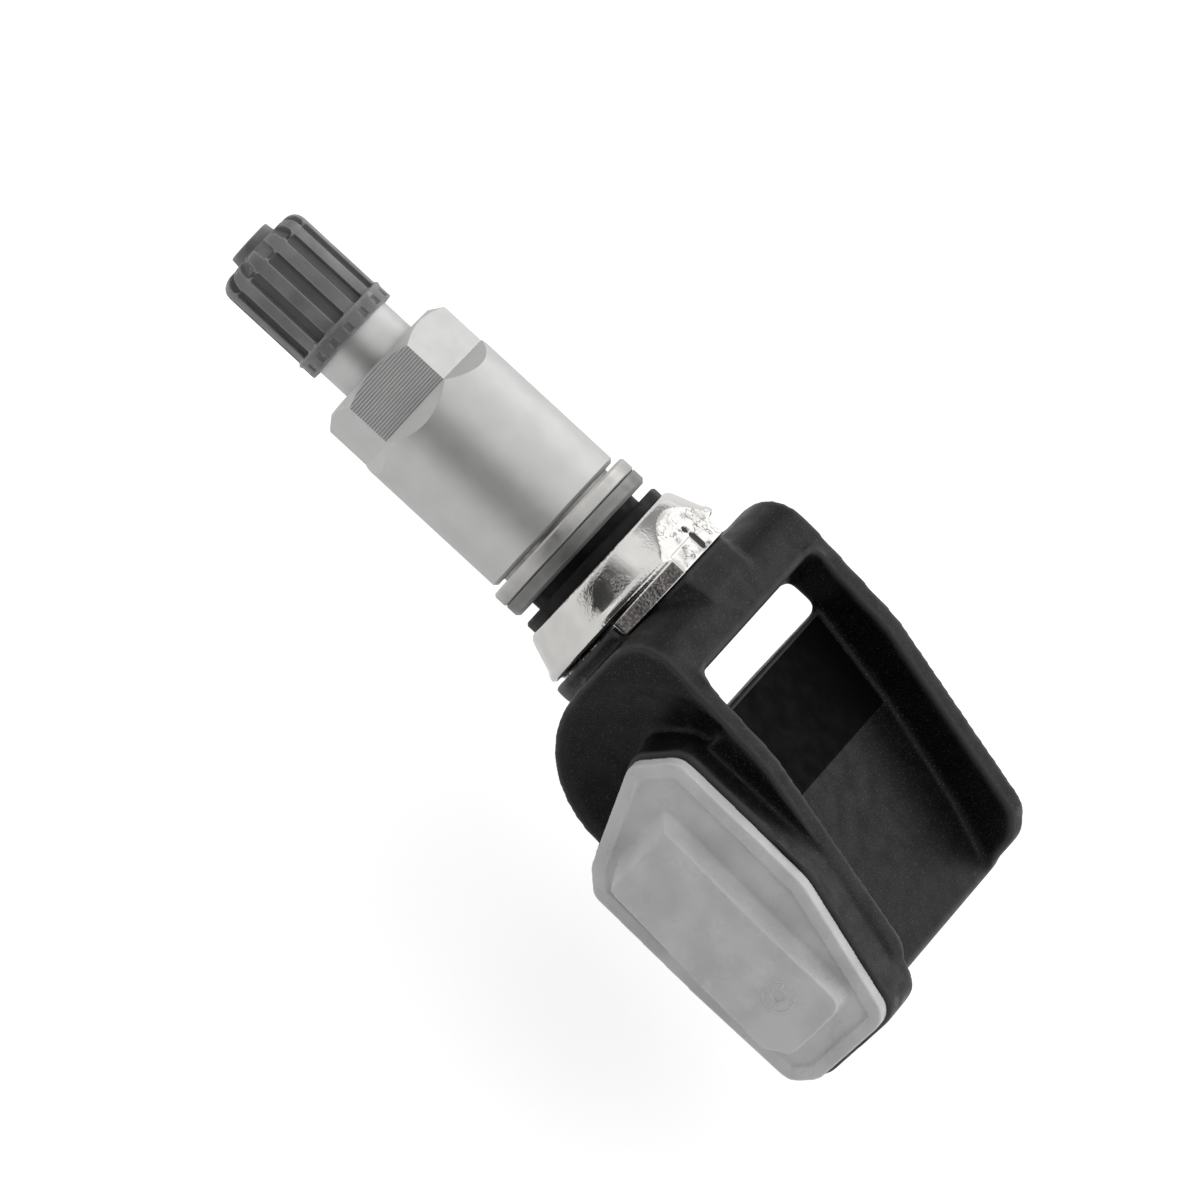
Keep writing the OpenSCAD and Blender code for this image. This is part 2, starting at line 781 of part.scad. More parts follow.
// Moulded housing: front wall, cheek, wings, faceted floor and the box for the electronics
module housing() {
    color("#26272a")
        difference() {
            union() {
                difference() {
                    union() {
                        front_wall();
                        cheek();
                        wing(-wing_y, -channel_y);
                    }
                    dish();
                }
                front_collar();
                wing(channel_y, wing_y);
                hold();
                pod();
            }
            board_room();
            cell_room();
            octagon(base_x1 - cut, boss_x1 + fit, boss_af + 2 * fit);
            rod(base_x1, slot_x, screw_d + 4 * fit);
            rod(head_seat_x - fit, slot_x + cut, screw_head_d + 0.6);
        }
}

// Translucent cover with a rib round its edge and a raised panel
module cover() {
    panel = rounded(panel_outline, panel_rounding);
    hollow = rounded(inset(panel_outline, cover_t), [for (r = panel_rounding) max(0.3, r - cover_t)]);
    color("#b4b6b4")
        side_frame()
            difference() {
                union() {
                    intersection() {
                        plate(-12, 6, cover_shape(0));
                        face_layer(-cover_t, 0);
                    }
                    intersection() {
                        difference() {
                            plate(-12, 6, cover_shape(0));
                            plate(-13, 7, cover_shape(cover_rib_w));
                        }
                        face_layer(-cover_t - cover_rib, -cover_t / 2);
                    }
                    intersection() {
                        plate(-12, 6, panel);
                        panel_layer(panel_x, -cover_t / 2, -cover_t - panel_h);
                    }
                }
                intersection() {
                    plate(-13, 7, hollow);
                    panel_layer(panel_x + 1.2 * cover_t, 1, -panel_h);
                }
                translate([port_x, 0, port_z])
                    rotate([90, 0, 0])
                        cylinder(h = 20, d = port_d);
            }
}

// Circuit board on the ledge of its room
module circuit_board() {
    color("darkgreen")
        side_frame()
            plate(board_y, board_y + board_t, cover_shape(room_inset + 0.15));
}

// Pressure sensor chip on the board, under the air hole
module sensor_chip() {
    color("#303030")
        side_frame()
            side_block(port_x, port_z, chip_w, chip_w, board_y - chip_t, board_y - 0.02);
}

// Soft tube that leads the air from the hole to the chip
module port_seal() {
    tube_len = board_y - chip_t - face_y(port_x) + panel_h - 0.09;
    color("white")
        side_frame()
            translate([port_x, board_y - chip_t - 0.02, port_z])
                rotate([90, 0, 0])
                    difference() {
                        cylinder(h = tube_len, d = port_tube_d);
                        translate([0, 0, -cut])
                            cylinder(h = tube_len + 2 * cut, d = port_d + 0.2);
                    }
}

// Ferrite bar of the wake-up coil, with two end cheeks
module coil_core() {
    end_x = (coil_len - coil_end_t) / 2;
    color("#3a3a3c")
        side_frame()
            union() {
                side_block(coil_x, coil_z, coil_len, coil_bar, board_y - 0.5 - coil_bar, board_y - 0.5);
                for (s = [-1, 1])
                    side_block(coil_x + s * end_x, coil_z, coil_end_t, coil_end_w,
                        board_y - coil_end_w, board_y - 0.02);
            }
}

// Copper winding on the ferrite bar
module low_frequency_coil() {
    color("peru")
        side_frame()
            difference() {
                side_block(coil_x, coil_z, winding_len, winding_w, board_y - winding_w, board_y - 0.1);
                side_block(coil_x, coil_z, coil_len + cut, coil_bar + 2 * fit,
                    board_y - 0.5 - coil_bar - fit, board_y - 0.5 + fit);
            }
}

// Crystal of the transmitter
module crystal() {
    color("silver")
        side_frame()
            side_block(bend_x - 1.4, cover_top - 4, 3.2, 2.5, board_y - 0.8, board_y - 0.02);
}

// Row of small capacitors
module capacitors() {
    pitch = 1.5;
    color("tan")
        side_frame()
            for (k = [0:3])
                side_block(side_x0 + 3.8 + pitch * k, cover_top - 4.2, 0.8, 1.6,
                    board_y - 0.8, board_y - 0.02);
}

// Stamped aerial: a flat strip on two feet
module loop_antenna() {
    strip = 0.4;
    strip_w = 5;
    x_a = bend_x - 2.4;
    x_b = bend_x + 1.2;
    z = cover_low + 6.4;
    y_top = board_y - 2.4;
    color("lightgray")
        side_frame()
            union() {
                side_block((x_a + x_b) / 2, z, x_b - x_a, strip_w, y_top, y_top + strip);
                for (x = [x_a + strip / 2, x_b - strip / 2])
                    side_block(x, z, strip, strip_w, y_top + fit, board_y - 0.02);
            }
}

// Lithium coin cell with a stepped edge
module coin_cell() {
    color("silver")
        translate([cell_x, cell_y, cell_z])
            union() {
                cylinder(h = cell_t - 0.5, d = cell_d);
                cylinder(h = cell_t, d = cell_d - 2.4);
            }
}

// Tab on top of the cell, bent up to the board
module cell_tab_upper() {
    z = cell_z + cell_t + 0.02;
    board_back = board_back_y(z + tab_rise);
    color("gainsboro")
        translate([cell_x - tab_w - 0.5, board_back, z])
            union() {
                cube([tab_w, cell_y - tab_short - board_back, tab_t]);
                cube([tab_w, tab_t, tab_rise]);
            }
}

// Tab under the cell, bent up past its side and on to the board
module cell_tab_lower() {
    z = cell_z - tab_t - 0.02;
    z_top = z + 2.6;
    y_side = cell_y - cell_d / 2 - 2.4;
    board_back = board_back_y(z_top + tab_t);
    color("gainsboro")
        translate([cell_x + 0.5, 0, 0])
            union() {
                translate([0, y_side, z])
                    cube([tab_w, cell_y - tab_short - y_side, tab_t]);
                translate([0, y_side, z])
                    cube([tab_w, tab_t, z_top - z + tab_t]);
                translate([0, board_back, z_top])
                    cube([tab_w, y_side + tab_t - board_back, tab_t]);
            }
}

valve_stem();
core_body();
core_seal();
core_pin();
core_spring();
plunger_seal();
valve_cap();
cap_gasket();
collar_nut();
clamp_washer();
support_ring();
rubber_grommet();
base_flange();
base_screw();
housing();
cover();
circuit_board();
sensor_chip();
port_seal();
low_frequency_coil();
coil_core();
crystal();
capacitors();
loop_antenna();
coin_cell();
cell_tab_upper();
cell_tab_lower();
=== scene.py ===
"""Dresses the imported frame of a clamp-in tyre pressure sensor.

All lengths are in metres unless a name ends in _mm, and all places are in the frame of the
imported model: +X runs along the valve from the cap to the sensor body, and +Z is the open
side of the body's channel.
"""

import logging
import math
from collections.abc import Callable
from dataclasses import dataclass
from enum import Enum

import bpy
from mathutils import Matrix, Vector

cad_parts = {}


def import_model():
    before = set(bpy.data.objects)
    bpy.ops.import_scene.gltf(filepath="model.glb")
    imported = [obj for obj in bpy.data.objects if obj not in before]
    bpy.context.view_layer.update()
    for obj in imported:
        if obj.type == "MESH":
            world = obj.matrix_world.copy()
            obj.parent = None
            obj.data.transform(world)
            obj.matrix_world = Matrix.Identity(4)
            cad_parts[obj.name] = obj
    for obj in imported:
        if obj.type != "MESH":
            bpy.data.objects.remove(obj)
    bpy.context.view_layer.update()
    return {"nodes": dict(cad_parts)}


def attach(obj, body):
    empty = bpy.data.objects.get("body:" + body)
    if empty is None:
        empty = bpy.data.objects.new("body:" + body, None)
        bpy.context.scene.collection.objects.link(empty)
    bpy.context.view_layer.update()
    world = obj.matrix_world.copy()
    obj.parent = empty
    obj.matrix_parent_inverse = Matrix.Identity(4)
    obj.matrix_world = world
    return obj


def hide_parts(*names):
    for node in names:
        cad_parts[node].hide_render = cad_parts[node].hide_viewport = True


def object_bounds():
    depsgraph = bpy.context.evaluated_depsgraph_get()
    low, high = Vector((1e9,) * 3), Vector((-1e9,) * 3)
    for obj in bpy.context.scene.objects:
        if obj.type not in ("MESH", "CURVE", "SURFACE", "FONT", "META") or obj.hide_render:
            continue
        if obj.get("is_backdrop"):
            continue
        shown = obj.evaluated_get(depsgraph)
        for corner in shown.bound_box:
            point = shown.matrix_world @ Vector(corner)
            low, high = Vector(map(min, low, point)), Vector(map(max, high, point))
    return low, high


MM = 0.001
ALONG, ACROSS, UP = Vector((1.0, 0.0, 0.0)), Vector((0.0, 1.0, 0.0)), Vector((0.0, 0.0, 1.0))
log = logging.getLogger("tyre_pressure_sensor")

Triple = tuple[float, float, float]
Colour = Triple
Reach = tuple[float, float]
Span = tuple[float, float, float, float]
Socket = bpy.types.NodeSocket
Layer = tuple[Socket, Colour]
Piece = bpy.types.Object
Material = bpy.types.Material


class Body(Enum):
    """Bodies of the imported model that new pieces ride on."""

    SENSOR = "sensor"
    CAP = "cap"


class Lay(Enum):
    """How the fine marks of a finish run over a piece."""

    EVEN = "even"
    ROUND_THE_VALVE = "round_the_valve"


class Tree:
    """Node tree with short methods for the nodes that materials and the world share."""

    def __init__(self, tree: bpy.types.NodeTree) -> None:
        """Keeps the tree."""
        self.tree = tree

    def add(self, kind: str, **settings: object) -> bpy.types.Node:
        """Adds a node.

        Args:
            kind: Type name of the node.
            **settings: Attributes of the node to set.

        Returns:
            The new node.
        """
        node = self.tree.nodes.new(kind)
        for key, value in settings.items():
            setattr(node, key, value)
        return node

    def join(self, source: Socket | float | Colour, target: Socket) -> None:
        """Links a socket to another, or sets a plain value on it.

        Args:
            source: Socket or value that feeds the target.
            target: Input that takes it.
        """
        if isinstance(source, bpy.types.NodeSocket):
            self.tree.links.new(source, target)
        elif isinstance(source, tuple) and len(target.default_value) == 4:
            target.default_value = (*source, 1.0)
        else:
            target.default_value = source

    def math(self, operation: str, *values: Socket | float) -> Socket:
        """Does sums on numbers.

        Args:
            operation: Name of the operation.
            *values: Its one, two or three values.

        Returns:
            The result's socket.
        """
        node = self.add("ShaderNodeMath", operation=operation)
        for value, target in zip(values, node.inputs):
            self.join(value, target)
        return node.outputs[0]

    def times(self, first: Socket | float, second: Socket | float) -> Socket:
        """Product of two numbers."""
        return self.math("MULTIPLY", first, second)

    def span(
        self, value: Socket, low: float, high: float, to_low: float = 0.0, to_high: float = 1.0
    ) -> Socket:
        """Maps a stretch of values to another, and stays within it.

        Args:
            value: Value to map.
            low: Value that becomes to_low.
            high: Value that becomes to_high.
            to_low: New lowest value.
            to_high: New highest value.

        Returns:
            The mapped value's socket.
        """
        node = self.add("ShaderNodeMapRange", interpolation_type="SMOOTHSTEP")
        self.join(value, node.inputs["Value"])
        names = ("From Min", "From Max", "To Min", "To Max")
        for name, number in zip(names, (low, high, to_low, to_high)):
            node.inputs[name].default_value = number
        return node.outputs["Result"]

    def mix(
        self, kind: str, share: Socket | float, first: Socket | Colour | float,
        second: Socket | Colour | float
    ) -> Socket:
        """Mixes two values of one kind.

        Args:
            kind: Type name of the values, FLOAT, VECTOR or RGBA.
            share: Share of the second value, from 0 to 1.
            first: Value at 0.
            second: Value at 1.

        Returns:
            The mixed value's socket.
        """
        node = self.add("ShaderNodeMix", data_type=kind)
        for name, value in zip(("Factor", "A", "B"), (share, first, second)):
            self.join(value, node.inputs[name])
        return node.outputs["Result"]

    def cosine(self, direction: Socket, way: Vector | Triple) -> Socket:
        """Cosine between a direction and a fixed way.

        Args:
            direction: Direction to measure.
            way: Way in the frame of the model.

        Returns:
            The cosine's socket.
        """
        node = self.add("ShaderNodeVectorMath", operation="DOT_PRODUCT")
        self.join(direction, node.inputs[0])
        node.inputs[1].default_value = way
        return node.outputs["Value"]


class Sheet(Tree):
    """Node tree of one material, with short methods for the nodes that the finishes use."""

    def __init__(self, name: str) -> None:
        """Starts a material with a Principled shader.

        Args:
            name: Name of the material.
        """
        self.material = bpy.data.materials.new(name)
        self.material.use_nodes = True
        super().__init__(self.material.node_tree)
        self.shader = self.tree.nodes["Principled BSDF"]
        coordinates = self.add("ShaderNodeTexCoord")
        self.place = coordinates.outputs["Object"]
        self.normal = coordinates.outputs["Normal"]

    def noise(self, size_mm: float, detail: float = 2.0, place: Socket | None = None) -> Socket:
        """Cloudy noise from 0 to 1.

        Args:
            size_mm: Size of its patches.
            detail: How much finer noise is laid over it.
            place: Coordinate to read, the piece's own if it is None.

        Returns:
            The noise's socket.
        """
        node = self.add("ShaderNodeTexNoise")
        self.join(place or self.place, node.inputs["Vector"])
        node.inputs["Scale"].default_value = 1.0 / (size_mm * MM)
        node.inputs["Detail"].default_value = detail
        return node.outputs["Fac"]

    def blend(self, share: Socket | float, first: Socket | Colour, second: Socket | Colour) -> Socket:
        """Colour that goes from the first to the second with the share."""
        return self.mix("RGBA", share, first, second)

    def position(self) -> tuple[Socket, Socket, Socket, Socket]:
        """Place on the piece.

        Returns:
            X, Y, Z and the distance from the valve axis.
        """
        parts = self.add("ShaderNodeSeparateXYZ")
        self.join(self.place, parts.inputs[0])
        x, y, z = parts.outputs
        return x, y, z, self.math("SQRT", self.math("ADD", self.times(y, y), self.times(z, z)))

    def turned_place(self, around_mm: float) -> Socket:
        """Coordinate whose marks run round the valve, as a lathe leaves them.

        Args:
            around_mm: Reach of the coordinate around the valve.

        Returns:
            The coordinate's socket.
        """
        x, y, z, radius = self.position()
        whole = self.add("ShaderNodeCombineXYZ")
        self.join(self.math("ADD", x, radius), whole.inputs[0])
        for side, target in ((y, whole.inputs[1]), (z, whole.inputs[2])):
            self.join(self.times(self.math("DIVIDE", side, radius), around_mm * MM), target)
        return whole.outputs[0]

    def edge_share(self, low: float, high: float) -> Socket:
        """Share from 0 at the low sharpness of an outer edge to 1 at the high one."""
        return self.span(self.add("ShaderNodeNewGeometry").outputs["Pointiness"], low, high)

    def facing(self, way: Triple, low: float, high: float) -> Socket:
        """Share from 0 to 1 as the cosine between the surface and a way goes from low to high."""
        return self.span(self.cosine(self.normal, way), low, high)

    def relief(self, height: Socket, depth_mm: float, under: Socket | None = None) -> Socket:
        """Bump from a height.

        Args:
            height: Height from 0 to 1.
            depth_mm: Depth that a height of 1 stands for.
            under: Normal that the bump is laid over.

        Returns:
            The bumped normal's socket.
        """
        node = self.add("ShaderNodeBump")
        node.inputs["Distance"].default_value = depth_mm * MM
        self.join(height, node.inputs["Height"])
        if under is not None:
            self.join(under, node.inputs["Normal"])
        return node.outputs["Normal"]

    def soft_edge(self, radius_mm: float) -> Socket:
        """Normal that rounds the piece's sharp edges.

        Args:
            radius_mm: Radius of the rounding.

        Returns:
            The normal's socket.
        """
        node = self.add("ShaderNodeBevel", samples=6)
        node.inputs["Radius"].default_value = radius_mm * MM
        return node.outputs["Normal"]


class LeaningSide:
    """Frame of the housing's leaning side: x along the valve, depth into the body and height."""

    ORIGIN_Y_MM = -15.6
    ORIGIN_Z_MM = 4.4
    LEAN_DEG = 9.0
    PANEL_MM = -4.1

    @classmethod
    def place_mm(cls, along_mm: float, depth_mm: float, height_mm: float) -> Vector:
        """Place of a point of the side in the frame of the model, in millimetres.

        Args:
            along_mm: Distance along the valve.
            depth_mm: Depth behind the side's face, negative in front of it.
            height_mm: Height over the side's origin.

        Returns:
            The place.
        """
        lean = math.radians(cls.LEAN_DEG)
        return Vector((
            along_mm,
            cls.ORIGIN_Y_MM + depth_mm * math.cos(lean) + height_mm * math.sin(lean),
            cls.ORIGIN_Z_MM - depth_mm * math.sin(lean) + height_mm * math.cos(lean)))


@dataclass(frozen=True)
class Finish:
    """Surface finish with cloudy colour, uneven gloss and a fine grain."""

    name: str
    colour: Colour
    uneven: float = 0.12
    patch_mm: float = 2.5
    patches: Reach = (0.3, 0.7)
    metallic: float = 0.0
    roughness: float = 0.5
    gloss_swing: float = 0.1
    gloss_patch: float = 0.6
    grain_mm: float = 0.15
    grain_depth_mm: float = 0.006
    edge_mm: float = 0.0
    lay: Lay = Lay.EVEN
    around_mm: float = 0.4
    specular: float = 0.5
    # Painted highlight on sharp outer edges: its colour, its share and the pointiness reach it spans.
    edge_highlight: Colour | None = None
    edge_highlight_share: float = 0.5
    edge_highlight_reach: Reach = (0.505, 0.56)

    def grain_place(self, sheet: Sheet) -> Socket:
        """Coordinate that the grain is read at."""
        round_it = self.lay is Lay.ROUND_THE_VALVE
        return sheet.turned_place(self.around_mm) if round_it else sheet.place

    def tint(self, sheet: Sheet) -> Socket:
        """Colour over the piece.

        Args:
            sheet: Material being made.

        Returns:
            The colour's socket.
        """
        dark, light = (
            tuple(part * (1 + change) for part in self.colour) for change in (-self.uneven, self.uneven))
        patches = sheet.noise(self.patch_mm, detail=4.0, place=self.grain_place(sheet))
        colour = sheet.blend(sheet.span(patches, *self.patches), dark, light)
        for share, shade in self.layers(sheet):
            colour = sheet.blend(share, colour, shade)
        return colour

    def layers(self, sheet: Sheet) -> list[Layer]:
        """Shades that lie over the colour in turn, each with its share.

        Args:
            sheet: Material being made.

        Returns:
            The layers.
        """
        # Painted highlight: outer edges are lightened by their pointiness.
        if self.edge_highlight is None:
            return []
        return [(sheet.times(sheet.edge_share(*self.edge_highlight_reach), self.edge_highlight_share), self.edge_highlight)]

    def gloss(self, sheet: Sheet) -> Socket:
        """Roughness over the piece.

        Args:
            sheet: Material being made.

        Returns:
            The roughness's socket.
        """
        low, high = self.roughness - self.gloss_swing, self.roughness + self.gloss_swing
        patches = sheet.noise(self.patch_mm * self.gloss_patch, detail=3.0)
        return sheet.span(patches, *self.patches, low, high)

    def ground(self, sheet: Sheet) -> Socket | None:
        """Normal that the grain is laid over, or None where it is the piece's own."""
        return sheet.soft_edge(self.edge_mm) if self.edge_mm > 0 else None

    def surface(self, sheet: Sheet) -> Socket:
        """Bumped normal over the piece."""
        grain = sheet.noise(self.grain_mm, detail=3.0, place=self.grain_place(sheet))
        return sheet.relief(grain, self.grain_depth_mm, self.ground(sheet))

    def make(self) -> Material:
        """Makes the material.

        Returns:
            The material.
        """
        sheet = Sheet(self.name)
        inputs = sheet.shader.inputs
        sheet.join(self.tint(sheet), inputs["Base Color"])
        sheet.join(self.gloss(sheet), inputs["Roughness"])
        sheet.join(self.surface(sheet), inputs["Normal"])
        inputs["Metallic"].default_value = self.metallic
        inputs["Specular IOR Level"].default_value = self.specular
        self.complete(sheet)
        return sheet.material

    def complete(self, sheet: Sheet) -> None:
        """Sets what only some finishes have."""


@dataclass(frozen=True)
class MilledAluminium(Finish):
    """Satin anodised aluminium whose hexagon faces keep the lines of the cutter."""

    pitch_mm: float = 0.25
    line_depth_mm: float = 0.06
    line_sway: float = 0.4
    # Painted shade laid between the cutter lines, and its share.
    groove_shade: Colour = (0.2, 0.2, 0.2)
    groove_shade_share: float = 0.75
    hexagon_end_mm: float = -18.2
    marked_turn_deg: float = 59.0
    marked: Span = (0.985, 0.995, 0.04, 1.0)

    def layers(self, sheet: Sheet) -> list[Layer]:
        """Painted shade in the grooves between the cutter lines."""
        between = sheet.math("SUBTRACT", self.face_share(sheet), self.lines(sheet))
        return [*super().layers(sheet), (sheet.times(between, self.groove_shade_share), self.groove_shade)]

    def ground(self, sheet: Sheet) -> Socket:
        """Normal with rounded edges on the sleeve and level faces on the hexagon."""
        level = sheet.add("ShaderNodeNewGeometry").outputs["True Normal"]
        return sheet.mix("VECTOR", self.on_hexagon(sheet), super().ground(sheet), level)

    def surface(self, sheet: Sheet) -> Socket:
        """Bumped normal with cutter lines across the marked faces."""
        return sheet.relief(self.lines(sheet), self.line_depth_mm, super().surface(sheet))

    def on_hexagon(self, sheet: Sheet) -> Socket:
        """Share that is 1 on the hexagon and 0 on the sleeve."""
        return sheet.math("LESS_THAN", sheet.position()[0], self.hexagon_end_mm * MM)

    def lines(self, sheet: Sheet) -> Socket:
        """Height of the cutter lines, level outside the marked faces.

        Args:
            sheet: Material being made.

        Returns:
            The height's socket.
        """
        wave_at_scale_one = math.pi / 10
        wave = sheet.add("ShaderNodeTexWave", wave_type="BANDS", bands_direction="X")
        sheet.join(sheet.place, wave.inputs["Vector"])
        wave.inputs["Scale"].default_value = wave_at_scale_one / (self.pitch_mm * MM)
        wave.inputs["Distortion"].default_value = self.line_sway
        wave.inputs["Detail"].default_value = 1.0
        return sheet.times(wave.outputs["Fac"], self.face_share(sheet))

    def face_share(self, sheet: Sheet) -> Socket:
        """Share of the cutter lines: 1 on the faces that show them and little or none elsewhere.

        Args:
            sheet: Material being made.

        Returns:
            The share's socket.
        """
        turn = math.radians(self.marked_turn_deg)
        towards = sheet.cosine(sheet.normal, (0.0, -math.sin(turn), math.cos(turn)))
        marked = sheet.span(sheet.math("ABSOLUTE", towards), *self.marked)
        return sheet.times(marked, self.on_hexagon(sheet))


@dataclass(frozen=True)
class CastPlating(Finish):
    """Bright nickel plating over a cast surface, wrinkled and clouded grey on the flat, with a painted dark
    reflection on the side beside it.
    """

    pit_mm: float = 0.22
    pit_depth_mm: float = 0.035
    pitted_mm: float = 3.2
    pitted: Span = (0.45, 0.62, 0.1, 1.0)
    wave_mm: float = 2.6
    wave_depth_mm: float = 0.07
    flat_way: Triple = (0.0, 0.0, 1.0)
    flat_reach: Reach = (0.97, 0.99)
    wrinkle: Colour = (0.08, 0.08, 0.08)
    wrinkle_mm: float = 1.3
    wrinkle_line: Span = (0.0, 0.03, 0.85, 0.0)
    break_mm: float = 1.1
    breaks: Reach = (0.4, 0.56)
    cloud: Colour = (0.3, 0.295, 0.285)
    cloud_mm: float = 1.5
    clouds: Span = (0.48, 0.66, 0.0, 0.7)
    side_way: Triple = (0.0, -math.sqrt(0.5), math.sqrt(0.5))
    side_reach: Reach = (0.965, 0.985)
    # Painted dark reflection, laid in specks on the side that faces side_way.
    dark_side_reflection: Colour = (0.1, 0.09, 0.086)
    specks: Span = (0.4, 0.66, 0.97, 0.7)

    def wrinkles(self, sheet: Sheet) -> Socket:
        """Share of the dark wrinkles that cross the flat.

        Args:
            sheet: Material being made.

        Returns:
            The share's socket.
        """
        height = sheet.noise(self.wrinkle_mm, detail=3.0)
        away = sheet.math("ABSOLUTE", sheet.math("SUBTRACT", height, 0.5))
        broken = sheet.span(sheet.noise(self.break_mm, detail=1.0), *self.breaks)
        return sheet.times(sheet.span(away, *self.wrinkle_line), broken)

    def layers(self, sheet: Sheet) -> list[Layer]:
        """Painted dark reflection on the side below the flat, and the grey clouds and wrinkles of the flat.

        Args:
            sheet: Material being made.

        Returns:
            The layers.
        """
        flat = sheet.facing(self.flat_way, *self.flat_reach)
        # Share of the painted dark reflection: the side that faces this way.
        side = sheet.facing(self.side_way, *self.side_reach)
        specks = sheet.span(sheet.noise(self.pit_mm), *self.specks)
        clouds = sheet.span(sheet.noise(self.cloud_mm, detail=5.0), *self.clouds)
        return [
            *super().layers(sheet),
            (sheet.times(side, specks), self.dark_side_reflection),
            (sheet.times(flat, clouds), self.cloud),
            (sheet.times(flat, self.wrinkles(sheet)), self.wrinkle)]

    def surface(self, sheet: Sheet) -> Socket:
        """Bumped normal with the waves and shallow pits of the casting.

        Args:
            sheet: Material being made.

        Returns:
            The normal's socket.
        """
        waves = sheet.noise(self.wave_mm, detail=1.0)
        pitted = sheet.span(sheet.noise(self.pitted_mm, detail=1.0), *self.pitted)
        pits = sheet.times(sheet.noise(self.pit_mm), pitted)
        waved = sheet.relief(waves, self.wave_depth_mm, super().surface(sheet))
        return sheet.relief(pits, self.pit_depth_mm, waved)


@dataclass(frozen=True)
class MouldedPlastic(Finish):
    """Glass-filled black plastic with a fine pale speckle, and painted shade on one facet of its floor."""

    speckle: Colour = (0.08, 0.08, 0.083)
    speckle_mm: float = 0.13
    speckles: Span = (0.58, 0.74, 0.0, 0.7)
    facet_mm: Reach = (16.0, 25.6)
    facet_top_mm: float = 3.8
    facet_slope_deg: float = 12.9
    facet_reach: Reach = (0.97, 0.985)
    # Painted shade: the colour and sheen that darken the facet next to the slot.
    facet_shade: Colour = (0.002, 0.002, 0.0022)
    facet_shade_sheen: Colour = (0.1, 0.1, 0.1)
    facet_roughness: float = 0.3

    def shaded_facet(self, sheet: Sheet) -> Socket:
        """Share of the floor facet next to the slot that takes the painted shade.

        Args:
            sheet: Material being made.

        Returns:
            The share's socket.
        """
        start, end = self.facet_mm
        slope = math.radians(self.facet_slope_deg)
        x, _, z, _ = sheet.position()
        share = sheet.facing((math.sin(slope), 0.0, math.cos(slope)), *self.facet_reach)
        for test, value, limit in (
                ("GREATER_THAN", x, start), ("LESS_THAN", x, end), ("LESS_THAN", z, self.facet_top_mm)):
            share = sheet.times(share, sheet.math(test, value, limit * MM))
        return share

    def layers(self, sheet: Sheet) -> list[Layer]:
        """Pale specks and the painted shade of the floor facet."""
        specks = sheet.span(sheet.noise(self.speckle_mm, detail=1.0), *self.speckles)
        return [*super().layers(sheet), (specks, self.speckle), (self.shaded_facet(sheet), self.facet_shade)]

    def gloss(self, sheet: Sheet) -> Socket:
        """Roughness with the facet's own."""
        return sheet.math("MULTIPLY_ADD", self.shaded_facet(sheet), self.facet_roughness, super().gloss(sheet))

    def complete(self, sheet: Sheet) -> None:
        """Lowers the sheen of the facet, as painted shade on its reflection."""
        sheen = sheet.blend(self.shaded_facet(sheet), (1.0, 1.0, 1.0), self.facet_shade_sheen)
        sheet.join(sheen, sheet.shader.inputs["Specular Tint"])


@dataclass(frozen=True)
class RibbedPlastic(Finish):
    """Moulded plastic with painted shade darkening the hollows between its ribs."""

    # Colour of the painted shade in the hollows.
    hollow: Colour = (0.085, 0.085, 0.087)
    hollow_shade_share: float = 0.8
    hollow_mm: Reach = (4.05, 4.28)
    end_mm: float = -35.3

    def layers(self, sheet: Sheet) -> list[Layer]:
        """Painted shade in the hollows.

        Args:
            sheet: Material being made.

        Returns:
            The layers.
        """
        x, _, _, radius = sheet.position()
        low, high = self.hollow_mm
        # Painted shade: darker where the radius falls into a hollow, short of the cap's end.
        deep = sheet.span(radius, low * MM, high * MM, self.hollow_shade_share, 0.0)
        share = sheet.times(deep, sheet.math("GREATER_THAN", x, self.end_mm * MM))
        return [*super().layers(sheet), (share, self.hollow)]


@dataclass(frozen=True)
class FrostedPlastic(Finish):
    """Milky translucent plastic."""

    clear: float = 0.05
    index: float = 1.3
    milk: float = 0.2
    milk_depth_mm: float = 0.6
    dab: Colour = (0.9, 0.9, 0.89)
    dab_share: float = 0.5
    dab_mm: Reach = (1.6, 2.1)
    dab_wobble_mm: float = 2.4
    dabs_mm: tuple[Reach, ...] = ((29.2, -8.1), (30.2, -12.0), (33.6, -10.4), (32.6, -8.0))

    def layers(self, sheet: Sheet) -> list[Layer]:
        """Milky dabs of the weld behind the panel.

        Args:
            sheet: Material being made.

        Returns:
            The layers.
        """
        layers = super().layers(sheet)
        full, gone = self.dab_mm
        for along, up in self.dabs_mm:
            apart = sheet.add("ShaderNodeVectorMath", operation="DISTANCE")
            sheet.join(sheet.place, apart.inputs[0])
            apart.inputs[1].default_value = MM * LeaningSide.place_mm(along, LeaningSide.PANEL_MM, up)
            wobble = sheet.times(sheet.noise(1.0), self.dab_wobble_mm * MM)
            distance = sheet.math("ADD", wobble, apart.outputs["Value"])
            layers.append((sheet.span(distance, full * MM, gone * MM, self.dab_share, 0.0), self.dab))
        return layers

    def complete(self, sheet: Sheet) -> None:
        """Lets light through the plastic.

        Args:
            sheet: Material being made.
        """
        for name, value in (
                ("Transmission Weight", self.clear), ("IOR", self.index),
                ("Subsurface Weight", self.milk), ("Subsurface Radius", (1.0, 1.0, 1.0)),
                ("Subsurface Scale", self.milk_depth_mm * MM)):
            sheet.shader.inputs[name].default_value = value


